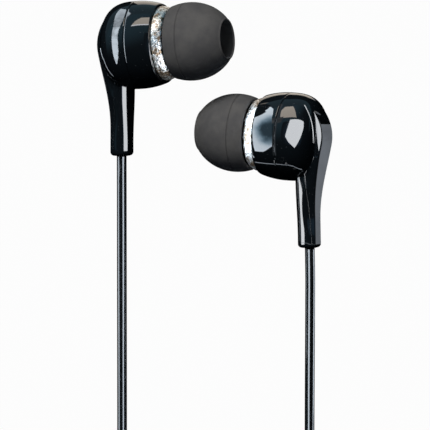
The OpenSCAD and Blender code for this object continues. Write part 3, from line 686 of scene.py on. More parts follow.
@dataclass(frozen=True)
class Lie:
    """How an earpiece lies on the surface. Angles in degrees, sizes in millimetres."""

    side: Side
    spin: float
    swing: float
    droop: float = 2.5
    rise: float = 4.0
    magnet_mid: float = 0.35
    stem_middle: float = -3.2
    stem_drop: float = 18.05

    def turn(self) -> Matrix:
        """Turn from the upright earpiece to the lying one."""
        return (Matrix.Rotation(radians(self.swing), 4, "Z") @ Matrix.Rotation(radians(self.droop), 4, "X")
                @ Matrix.Rotation(radians(self.spin), 4, "Y") @ Matrix.Rotation(-pi / 2, 4, "X"))

    def axis_turn(self) -> Matrix:
        """Turn of the X axis onto the acoustic axis."""
        return Matrix.Rotation(radians(-self.rise), 4, "Y")

    def place(self) -> Matrix:
        """Places the earpiece by its magnet, whose middle is on the acoustic axis.

        Returns:
            Matrix from the upright earpiece in millimetres to the frame in metres.
        """
        low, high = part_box(f"{self.side.value}_magnet")
        middle = (Vector(low) + Vector(high)) / 2
        ahead = (self.turn() @ self.axis_turn()) @ Vector((self.magnet_mid * MM, 0, 0))
        return Matrix.Translation(middle - ahead) @ self.turn() @ Matrix.Scale(MM, 4)

    def on_axis(self) -> Matrix:
        """Matrix from the acoustic axis in millimetres to the frame."""
        return self.place() @ self.axis_turn()

    def stem_end(self, above: float = 0.0) -> Vector:
        """Point of the frame on the stem's middle, at a height above its lower end in millimetres."""
        return self.place() @ Vector((self.stem_middle, 0, above - self.stem_drop))


@dataclass(frozen=True)
class Dome:
    """Form of the housing behind its widest section. Sizes in millimetres, the axis's rise in degrees."""

    radius: float = 7.16
    depth: float = 5.7
    power: float = 3.0
    rise: float = 4.0

    def outline(self, scale_r: float = 1.0, scale_a: float = 1.0, steps: int = 44) -> Outline:
        """Outline from the widest section to the pole.

        Args:
            scale_r: Share of the radius.
            scale_a: Share of the depth.
            steps: Steps along the outline.

        Returns:
            Points of (distance along the axis, radius).
        """
        points = []
        for i in range(steps + 1):
            t = pi / 2 * ease(i / steps, 0, 1, 0, 1)
            points.append((-self.depth * scale_a * sin(t) ** (2 / self.power),
                           0.0 if i == steps else self.radius * scale_r * cos(t) ** (2 / self.power)))
        return points

    def holds(self, forward: float, side: float, up: float) -> bool:
        """Whether the dome holds a point of the upright earpiece.

        Args:
            forward: Place towards the ear tip.
            side: Place across.
            up: Place along the stem.

        Returns:
            True inside the dome's outside surface.
        """
        rise = radians(self.rise)
        along = forward * cos(rise) + up * sin(rise)
        radius = sqrt(side * side + (up * cos(rise) - forward * sin(rise)) ** 2)
        if along > 0:
            return radius < self.radius
        return (radius / self.radius) ** self.power + (-along / self.depth) ** self.power < 1


@dataclass
class Housing:
    """Front and rear shell of an earpiece with its trim ring. Sizes in millimetres."""

    lie: Lie
    dome: Dome
    front_arc: float = 13.0
    front_len: float = 4.25
    front_steps: int = 16
    wall: float = 0.9
    inner_steps: int = 20
    seam: float = 0.03
    seam_round: float = 0.1
    seat_r: float = 5.04
    port_r: float = 4.16
    lap: float = 0.7
    lap_gap: float = 0.04
    edge_round: float = 0.14
    ring_len: float = 1.85
    ring_rear: float = 6.05
    ring_front: float = 5.6
    ring_bore: float = 5.1
    ring_cut: float = 0.12
    ring_sharp: float = 50.0

    def front_radius(self, along: float) -> float:
        """Outside radius of the front shell at a place on the axis."""
        return self.dome.radius - self.front_arc + sqrt(self.front_arc ** 2 - along ** 2)

    def build(self) -> None:
        """Builds and dresses the shells and the trim ring."""
        side, place = self.lie.side.value, self.lie.on_axis()
        finished(f"{side}_rear_moulding", self.rear(), place, SHELL, Body.SET)
        finished(f"{side}_front_moulding", self.front(), place, SHELL, Body.SET, (f"{side}_front_shell",))
        finished(f"{side}_hammered_ring", self.ring(), place, RING, Body.SET, (f"{side}_trim_ring",),
                 self.ring_sharp)

    def rear(self) -> Mesh:
        """Builds the hollow dome with a rounded rim at the seam.

        Returns:
            The dome.
        """
        r, cut, seam = self.dome.radius, self.seam_round, self.seam
        outer = [p for p in self.dome.outline() if p[0] < -seam - cut]
        inner = self.dome.outline(1 - self.wall / r, 1 - self.wall / self.dome.depth, self.inner_steps)
        inner = [p for p in inner if p[0] < -self.lap]
        rim = [(-seam, r - self.wall / 2), (-seam, r - cut), (-seam - cut * 0.3, r - cut * 0.3),
               (-seam - cut, r)]
        back = [(-self.lap, r - self.wall), (-self.lap, r - self.wall / 2)]
        return spun(list(reversed(inner)) + back + rim + outer)

    def front(self) -> Mesh:
        """Builds the front shell with its seat, its lap and the rounded edge behind the ring.

        Returns:
            The shell.
        """
        r, cut, end = self.dome.radius, self.seam_round, self.front_len
        lap_r = r - self.wall / 2
        stations = [end * i / self.front_steps for i in range(1, self.front_steps)]
        edge, bend = self.front_radius(end), self.edge_round
        outline = [(self.seam, lap_r), (self.seam, r - cut), (self.seam + cut * 0.3, r - cut * 0.3),
                   (self.seam + cut, r), *((x, self.front_radius(x)) for x in stations),
                   (end - bend, edge + 0.04), (end - 0.04, edge - 0.03), (end, edge - bend),
                   (end, self.port_r), (end - self.wall, self.port_r), (end - self.wall, self.seat_r),
                   (-self.lap, self.seat_r),
                   (-self.lap, lap_r - self.lap_gap), (self.seam, lap_r - self.lap_gap)]
        return spun(outline, closed=True)

    def ring(self) -> Mesh:
        """Builds the trim ring with chamfered edges.

        Returns:
            The ring.
        """
        start, end, cut = self.front_len, self.front_len + self.ring_len, self.ring_cut
        rear, front = self.ring_rear, self.ring_front
        outline = [(start, self.ring_bore), (start, rear - cut), (start + cut, rear),
                   (start + 0.3, rear - 0.02), (start + 0.8, rear - 0.12), (end - 0.55, front + 0.13),
                   (end - 0.45, front + 0.08), (end - 0.05, front - 0.32), (end, front - 0.4),
                   (end, self.ring_bore)]
        return spun(outline, closed=True, steps=FINE)


@dataclass
class StemAndCover:
    """The stem's front part and the back cover that runs up over the dome. Sizes in millimetres.

    Fields that end in _span are the two heights between which a size changes.
    """

    lie: Lie
    dome: Dome
    front: float = 1.65
    back: float = 1.5
    half_end: float = 1.85
    half_top: float = 2.5
    half_span: tuple[float, float] = (-16.0, -7.0)
    spine_r: float = 6.85
    spine_shift: float = 0.27
    spine_top: float = 6.05
    back_half_end: float = 1.3
    back_half_top: float = 2.45
    back_half_span: tuple[float, float] = (-14.0, -2.0)
    flare_span: tuple[float, float] = (-12.8, -1.5)
    slope: float = 65.0
    part_end: float = 1.0
    part_top: float = 0.3
    part_stop: float = -6.4
    wing: float = 2.0
    wing_span: tuple[float, float] = (-6.5, -3.0)
    wing_reach: float = 3.0
    wing_step: float = 0.02
    end_round: float = 0.6
    end_cuts: tuple[float, ...] = (0.0, 0.015, 0.06, 0.13, 0.22, 0.34, 0.48)
    edge_back: float = 0.22
    edge_side: float = 0.45
    back_share: float = 0.7
    bend: float = 0.5
    tuck_deep: float = 0.4
    tuck_in: float = 0.5
    tuck_round: float = 0.1
    part_flat: float = 0.2
    part_round: float = 0.08
    facet: float = 0.7
    front_round: float = 0.22
    stem_top: float = -4.5
    stem_rows: int = 30
    cover_rows: int = 60
    grommet_r: float = 1.08
    grommet_bore: float = 0.82
    grommet_len: float = 0.9

    def spine(self, z: float) -> float:
        """Distance of the flat back behind the housing's centre.

        Args:
            z: Height along the stem.

        Returns:
            The distance.
        """
        low, top = self.flare_span
        if z > top:
            return sqrt(self.spine_r ** 2 - z * z) - self.spine_shift
        end = self.back - self.lie.stem_middle
        if z < low:
            return end
        start = sqrt(self.spine_r ** 2 - top ** 2) - self.spine_shift
        steep = -top / (start + self.spine_shift) * (top - low)
        s = (top - z) / (top - low)
        return ((1 - 3 * s * s + 2 * s ** 3) * start - (s - 2 * s * s + s ** 3) * steep
                + (3 * s * s - 2 * s ** 3) * end)

    def parting(self, z: float) -> float:
        """Place of the plane where the cover meets the stem's front part."""
        share = min(1.0, (z + self.lie.stem_drop) / (self.lie.stem_drop + self.part_stop))
        return self.lie.stem_middle - self.part_end + (self.part_end - self.part_top) * share

    def inset(self, z: float) -> float:
        """How far the section shrinks near the rounded lower end."""
        r, up = self.end_round, z + self.lie.stem_drop
        return r - sqrt(max(0.0, r * r - (r - up) ** 2)) if up < r else 0.0

    def side_path(self, z: float) -> tuple[float, float, float, float]:
        """Back edge and outer edge of a section.

        Args:
            z: Height along the stem.

        Returns:
            Distance of the flat back, half its width, half the stem's width and the side's steepness.
        """
        cut = self.inset(z)
        back_half = ease(z, *self.back_half_span, self.back_half_end, self.back_half_top)
        half = ease(z, *self.half_span, self.half_end, self.half_top)
        return (self.spine(z) - cut, back_half - cut * self.back_share, half - cut,
                1 / tan(radians(self.slope)))

    def cover_corners(self, z: float) -> list[Corner]:
        """Corners of the cover's section, whose sides end where they meet the dome.

        Args:
            z: Height along the stem.

        Returns:
            Corners of (forward, across, rounding).
        """
        back, half, limit, steep = self.side_path(z)
        limit += ease(z, *self.wing_span, 0, self.wing)
        stop = self.parting(z) if z < self.part_stop else self.lie.stem_middle + self.wing_reach

        def across(u: float) -> float:
            """Half width of the section at a place forward."""
            return min(limit, half + (u + back) * steep)

        end = -back
        while end < stop and not self.dome.holds(end, across(end), z):
            end += self.wing_step
        turn_at = min(-back + (limit - half) / steep, (end - back) / 2)
        tucked = max(self.tuck_round, across(end) - self.tuck_in)
        return mirrored([(-back, half, self.edge_back, self.edge_side), (turn_at, across(turn_at), self.bend),
                         (end, across(end), self.tuck_round), (end + self.tuck_deep, tucked, 0.0)])

    def front_corners(self, z: float) -> list[Corner]:
        """Corners of the section of the stem's front part.

        Args:
            z: Height along the stem.

        Returns:
            Corners of (forward, across, rounding).
        """
        back, half, limit, steep = self.side_path(z)
        part = self.parting(z)
        front = self.lie.stem_middle + self.front - self.inset(z)
        turn_at = max(part + self.part_flat, -back + (limit - half) / steep)
        return mirrored([(part, min(limit, half + (part + back) * steep), self.part_round),
                         (turn_at, limit, self.bend), (front - self.facet, limit, self.front_round),
                         (front, limit - self.facet, self.front_round)])

    def wrapped(self, top: float, steps: int, corners: Callable[[float], list[Corner]]) -> Mesh:
        """Wraps a part of the stem through its sections.

        Args:
            top: Height of the last section.
            steps: Sections above the rounded lower end.
            corners: Method that gives a section's corners at a height.

        Returns:
            The part, standing upright.
        """
        start = self.end_round - self.lie.stem_drop
        heights = [cut - self.lie.stem_drop for cut in self.end_cuts]
        heights += [start + (top - start) * i / steps for i in range(steps + 1)]
        return lofted([[Vector((u, v, z)) for u, v in rounded(corners(z))] for z in heights])

    def build(self) -> None:
        """Builds and dresses the cover, the stem's front part and the grommet."""
        side, place = self.lie.side.value, self.lie.place()
        stem = self.wrapped(self.stem_top, self.stem_rows, self.front_corners)
        finished(f"{side}_stem_moulding", stem, place, SHELL, Body.SET, (f"{side}_rear_shell",))
        cover = self.wrapped(self.spine_top, self.cover_rows, self.cover_corners)
        finished(f"{side}_cover_moulding", cover, place, COVER, Body.SET, (f"{side}_back_cover",))
        r, bore, deep = self.grommet_r, self.grommet_bore, self.grommet_len
        grommet = spun([(0.03, bore), (0.03, r - 0.06), (-0.02, r), (-deep, r), (-deep, bore)], closed=True,
                       steps=64)
        down = (Matrix.Translation((self.lie.stem_middle, 0, -self.lie.stem_drop))
                @ Matrix.Rotation(pi / 2, 4, "Y"))
        finished(f"{side}_cord_grommet", grommet, place @ down, STRAIN, Body.SET)


@dataclass
class NozzleAndTip:
    """The sound tube, its mesh and the silicone ear tip. Sizes in millimetres."""

    lie: Lie
    tip_body: Body
    start: float = 4.25
    ring_end: float = 6.1
    neck: float = 5.06
    port: float = 4.16
    tube: float = 2.5
    bore: float = 1.9
    length: float = 5.6
    tip_at: float = 6.18
    tip_len: float = 9.15
    tip_r: float = 6.37
    rim_r: float = 5.95
    rim_round: float = 0.35
    rim_in: float = 0.33
    rim_steps: int = 8
    wide_at: float = 2.9
    tip_end: float = 7.19
    rows: int = 48
    rim_crowd: float = 0.8
    end_crowd: float = 0.9
    lip_room: float = 0.62
    skin: float = 0.7
    mouth: float = 3.02
    # depth inside the mouth that takes the painted shade
    shaded_throat_depth: float = 3.5
    lip: float = 0.2
    lip_steps: int = 10
    sleeve: float = 2.63
    sleeve_out: float = 3.43
    sleeve_end: float = 5.62
    bell: float = 4.62
    bell_rows: int = 16
    line_at: float = 2.4
    line_half: float = 0.12
    line_depth: float = 0.13

    def shape(self, along: float) -> float:
        """Outside radius of the ear tip at a distance from its rear rim."""
        if along < self.wide_at:
            return self.rim_r + (self.tip_r - self.rim_r) * sin(pi / 2 * along / self.wide_at)
        return self.tip_r * sqrt(1 - ((along - self.wide_at) / self.tip_end) ** 2)

    def outside(self) -> Outline:
        """Outline of the bell's outside, from the rim to the lip, with its moulding line.

        Returns:
            Points of (distance from the rear rim, radius).
        """
        line, half = self.line_at, self.line_half
        points = [(line - half, self.shape(line)), (line, self.shape(line) - self.line_depth),
                  (line + half, self.shape(line))]
        for i in range(1, self.rows + 1):
            t = (i / self.rows) ** self.rim_crowd
            along = self.rim_round + (self.tip_len - self.lip_room) * sin(pi / 2 * t) ** self.end_crowd
            if abs(along - line) > 1.5 * half:
                points.append((along, self.shape(along)))
        return sorted(points)

    def ear_tip(self) -> Mesh:
        """Builds the bell with its rounded rim, moulding line, lip and sleeve.

        Returns:
            The tip, in its place on the axis.
        """
        outer, end, lip = self.outside(), self.tip_len, self.lip
        lips = [(end - lip + lip * sin(t), self.mouth + lip + lip * cos(t))
                for t in (pi * k / self.lip_steps for k in range(self.lip_steps + 1))]
        lips = [p for p in lips if p[0] > outer[-1][0]]
        mouth = [(end - 0.6, self.mouth - 0.02), (end - 2.2, self.mouth - 0.12),
                 (end - 2.9, self.mouth - 0.4), (end - 3.2, self.bore), (self.sleeve_end, self.bore),
                 (self.sleeve_end, self.sleeve), (0.1, self.sleeve), (0.0, self.sleeve + 0.1),
                 (0.0, self.sleeve_out - 0.1), (0.1, self.sleeve_out), (self.bell - 0.3, self.sleeve_out),
                 (self.bell, self.sleeve_out + 0.3)]
        stations = [self.bell * (1 - i / self.bell_rows) for i in range(1, self.bell_rows)]
        inner = [(x, self.shape(x) - self.skin) for x in stations if x > 0.4]
        rim = [(self.rim_round * (1 - sin(t)), self.rim_r - self.rim_in + self.rim_round * cos(t))
               for t in (pi * k / self.rim_steps for k in range(self.rim_steps, 0, -1))]
        bm = spun(outer + lips + mouth + inner + rim, closed=True, steps=FINE)
        bmesh.ops.translate(bm, verts=bm.verts, vec=(self.tip_at, 0, 0))
        return bm

    def nozzle(self) -> Mesh:
        """Builds the sound tube with its neck, shoulder and barb.

        Returns:
            The tube, in its place on the axis.
        """
        ring, end, tube, hole = self.ring_end, self.ring_end + self.length, self.tube, self.bore
        outline = [(self.start, self.port), (self.start, self.neck), (ring - 0.1, self.neck),
                   (ring, self.neck - 0.1), (ring, tube + 0.15), (ring + 0.15, tube), (end - 0.85, tube),
                   (end - 0.8, tube + 0.1), (end - 0.6, tube + 0.09), (end - 0.1, tube), (end, tube - 0.1),
                   (end, hole + 0.2), (end - 0.25, hole + 0.2), (end - 0.25, hole), (ring - 1, hole),
                   (ring - 1, self.port)]
        return spun(outline, closed=True, steps=96)

    def build(self) -> None:
        """Builds and dresses the nozzle, the mesh and the ear tip, with shade painted darker inside the tip's
        mouth.
        """
        side, place = self.lie.side.value, self.lie.on_axis()
        finished(f"{side}_sound_tube", self.nozzle(), place, NOZZLE, Body.SET, (f"{side}_nozzle",))
        tip = self.ear_tip()
        end = self.tip_at + self.tip_len
        # Faces deep inside the mouth take the darker material: painted shade in the hollow.
        for face in tip.faces:
            middle = face.calc_center_median()
            if middle.yz.length < self.mouth + 0.05 and end - self.shaded_throat_depth < middle.x < end - self.lip:
                face.material_index = 1
        piece = finished(f"{side}_silicone_tip", tip, place, SILICONE, self.tip_body, (f"{side}_ear_tip",))
        piece.data.materials.append(THROAT_SHADE.material())
        dress_node(f"{side}_nozzle_mesh", MESH)


@dataclass
class Driver:
    """The driver and the wiring inside an earpiece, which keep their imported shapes."""

    side: Side

    def build(self) -> None:
        """Dresses the inner nodes."""
        finishes = {"driver_frame": FRAME_PLASTIC, "yoke": STEEL, "magnet": STEEL, "top_plate": STEEL,
                    "voice_coil": WIRE, "diaphragm": FILM, "surround": FILM, "driver_cover": STEEL,
                    "terminal_board": BOARD, "cable_clamp": STRAIN, "inner_lead": WIRE}
        for name, finish in finishes.items():
            dress_node(f"{self.side.value}_{name}", finish)


# ---------------------------------------------------------------- the cord
@dataclass
class CordRoutes:
    """Routes of the cord's middle. Millimetres in the frame."""

    right: Lie
    left: Lie
    branch_z: float = 0.8
    main_z: float = 1.0
    right_lane: float = -15.1
    left_lane: float = 15.5
    hank_start: float = -60.0
    right_run: float = 24.0
    left_run: float = 26.0
    hank_inner: float = 3.4
    hank_step: float = 2.35
    hank_rise: float = 2.15
    waist: float = 1.9
    in_turns: float = 1.5
    climb: float = 0.25
    hank_turns: float = 3.25
    tie_lift: float = 0.65
    clamp_in: float = 2.5
    clamp_out: float = 2.0
    coil_x: float = 3.0
    coil_y: float = -135.0
    coil_inner: float = 7.2
    coil_step: float = 2.8
    coil_rise: float = 2.5
    coil_turns: float = 2.75
    coil_layers: int = 4
    coil_hop: float = 0.5
    coil_whole: int = 12
    coil_start: float = 135.0
    coil_end: float = 100.0
    tie_angle: float = 300.0
    tie_spread: float = 40.0
    per_turn: int = 24

    def start(self, lie: Lie, lane: float, marks: list[tuple[float, float]]) -> list[Vector]:
        """Free stretch of a branch from its clamp in the stem to its hank.

        Args:
            lie: The earpiece.
            lane: Place across of the stretch.
            marks: Places along the set and heights.

        Returns:
            The points.
        """
        clamp = lie.stem_end(self.clamp_in) / MM
        out = (lie.stem_end() / MM - clamp).normalized()
        free = clamp + (self.clamp_in + self.clamp_out) * out
        return [clamp, free] + [Vector((lane, y, z)) for y, z in marks]

    def hank(self, run: float, lane: float, side: float) -> list[Vector]:
        """Hank that runs to and fro, inwards in the lower layer and outwards in the upper.

        Args:
            run: Length of its straight runs.
            lane: Place across of its start.
            side: Direction across, 1 or -1.

        Returns:
            The points.
        """
        points = []
        out = self.hank_inner + self.hank_step * self.in_turns
        for i in range(1, round(self.hank_turns * self.per_turn) + 1):
            t = i / self.per_turn
            past = t - self.in_turns
            rho = self.hank_inner + self.hank_step * (-past if past < 0 else max(0.0, past - self.climb))
            part = int(floor(t % 1 * 4))
            f = t % 1 * 4 - part
            y = (run / 2 - run * f, -run / 2, run * f - run / 2, run / 2)[part]
            turn = radians((180, 180 + 180 * f, 0, 180 * f)[part])
            w = 0.0 if part % 2 else (1 + cos(2 * pi * y / run)) / 2
            bow = rho * sin(turn) if part % 2 else 0.0
            points.append(Vector((lane + side * (out + (rho - self.waist * w) * cos(turn)),
                                  self.hank_start - run / 2 + y + bow,
                                  self.branch_z + self.tie_lift * w
                                  + self.hank_rise * min(1.0, max(0.0, past / self.climb)))))
        return points

    def lead(self, last: Vector, across: float, marks: list[Place]) -> list[Vector]:
        """Lead to the splitter, marked by shares of the way across, places along the set and heights."""
        return [Vector((last.x + share * (across - last.x), y, z)) for share, y, z in marks]

    def right_branch(self) -> list[Vector]:
        """Whole route of the right branch.

        Returns:
            The points.
        """
        first = self.start(self.right, self.right_lane, [
            (-11, 5.1), (-15, 4.7), (-20, 4.15), (-25, 3.5), (-30, 2.85), (-35, 2.2), (-40, 1.65), (-45, 1.2),
            (-50, 0.9), (-54, 0.8), (-57, 0.8), (-60, 0.8)])
        wound = self.hank(self.right_run, self.right_lane, 1)
        return first + wound + self.lead(wound[-1], -5.3, [
            (0, -86, 2.95), (0.06, -89.2, 2.95), (0.22, -92, 2.8), (0.5, -94.2, 2.4), (0.78, -96.4, 2.1),
            (0.94, -99.2, 1.9), (1, -102.4, 1.8), (1, -104, 1.8)])

    def left_branch(self) -> list[Vector]:
        """Whole route of the left branch.

        Returns:
            The points.
        """
        first = self.start(self.left, self.left_lane, [
            (-25, 9.8), (-28, 9.25), (-31, 8.35), (-34, 7.2), (-37, 5.95), (-40, 4.65), (-43, 3.45),
            (-46, 2.4), (-49, 1.55), (-52, 1), (-55, 0.8), (-57.5, 0.8), (-60, 0.8)])
        wound = self.hank(self.left_run, self.left_lane, -1)
        return first + wound + self.lead(wound[-1], -2.7, [
            (0, -87.8, 2.95), (0.02, -89.7, 2.95), (0.08, -91.3, 2.95), (0.17, -92.4, 2.95),
            (0.33, -93.7, 2.9), (0.5, -95.1, 2.6), (0.67, -96.5, 2.2), (0.84, -97.8, 1.9),
            (0.92, -98.9, 1.8), (0.98, -100.5, 1.8), (1, -102.4, 1.8), (1, -104, 1.8)])

    def coil_point(self, t: float) -> Vector:
        """Point of the coil, which spirals inwards and outwards in turn through four layers.

        Args:
            t: Turns from its start.

        Returns:
            The point.
        """
        leg = self.coil_turns + self.coil_hop
        layer = floor(t / leg)
        past = t - layer * leg
        s = min(past, self.coil_turns)
        angle = self.coil_start + 360 * t
        rho = self.coil_inner + self.coil_step * (self.coil_turns - s if layer % 2 == 0 else s)
        off = abs((angle - self.tie_angle + 540) % 360 - 180)
        lift = self.tie_lift * (1 + cos(pi * off / self.tie_spread)) / 2 if off < self.tie_spread else 0.0
        climbed = layer + max(0.0, (past - self.coil_turns) / self.coil_hop)
        return Vector((self.coil_x + rho * cos(radians(angle)), self.coil_y + rho * sin(radians(angle)),
                       self.main_z + lift + self.coil_rise * climbed))

    def main(self) -> list[Vector]:
        """Whole route of the main cord.

        Returns:
            The points.
        """
        turns = self.coil_whole - (self.coil_start - self.coil_end) / 360
        steps = int(turns * self.per_turn)
        coil = [self.coil_point(turns * i / steps) for i in range(steps + 1)]
        heading = radians(self.coil_end)
        away = coil[-1] + 2 * Vector((-sin(heading), cos(heading), 0))
        lead_in = [(-4, -115, 1.8), (-4, -117, 1.8), (-4, -118.6, 1.5), (-4.5, -120.6, 1.15), (-6.1, -123, 1)]
        lead_out = [(-5, -122, 8.3), (-8.8, -121.5, 7.4), (-12.2, -121.6, 6.1), (-14.9, -122.9, 4.6),
                    (-16.2, -125, 3.3), (-16.5, -126.5, 2.75), (-16.5, -128.5, 2.75)]
        return [Vector(p) for p in lead_in] + coil + [away] + [Vector(p) for p in lead_out]


def cord_curve(name: str, points: list[Vector], diameter: float, nodes: tuple[str, ...]) -> Piece:
    """Makes a round cord along a route.

    Args:
        name: Name of the piece.
        points: Its route in millimetres.
        diameter: Its diameter in millimetres.
        nodes: CAD nodes that it stands for.

    Returns:
        The cord.
    """
    curve = bpy.data.curves.new(name, "CURVE")
    curve.dimensions = "3D"
    curve.bevel_depth = diameter / 2 * MM
    curve.bevel_resolution = 8
    curve.resolution_u = curve.render_resolution_u = 3
    curve.use_fill_caps = True
    spline = curve.splines.new("BEZIER")
    spline.bezier_points.add(len(points) - 1)
    for knot, point in zip(spline.bezier_points, points):
        knot.co = point * MM
        knot.handle_left_type = knot.handle_right_type = "AUTO"
    curve.materials.append(CORD.material())
    made = shown(name, curve)
    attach(made, Body.SET.value)
    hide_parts(*nodes)
    LOG.info("cord %s: %.1f mm", name, sum((b - a).length for a, b in zip(points, points[1:])))
    return made


@dataclass
class Strap:
    """A strap round turns that lie between two sides and two heights. Sizes in millimetres."""

    low: float
    high: float
    bottom: float
    top: float
    wide: float = 2.5
    thick: float = 0.5
    gap: float = 0.15
    bend: float = 0.9
    edge: float = 0.12

    def mesh(self) -> Mesh:
        """Builds the strap, standing along X and Z.

        Returns:
            The strap.
        """
        reach, half, deep = self.gap + self.thick / 2, self.wide / 2, self.thick / 2
        sides = ((self.low - reach, self.bottom - reach), (self.high + reach, self.bottom - reach),
                 (self.high + reach, self.top + reach), (self.low - reach, self.top + reach))
        loop = rounded([(*corner, self.bend) for corner in sides], 9, (0.25, 0.5, 0.75))
        section = rounded([(*corner, self.edge) for corner in ((-half, -deep), (half, -deep), (half, deep),
                                                               (-half, deep))], 4, (0.1, 0.5, 0.9))
        rings = []
        for before, (x, z), after in zip(loop[-1:] + loop, loop + loop[:1], loop[1:] + loop[:2]):
            along = (Vector(after) - Vector(before)).normalized()
            rings.append([Vector((x + along.y * d, y, z - along.x * d)) for y, d in section])
        return lofted(rings)


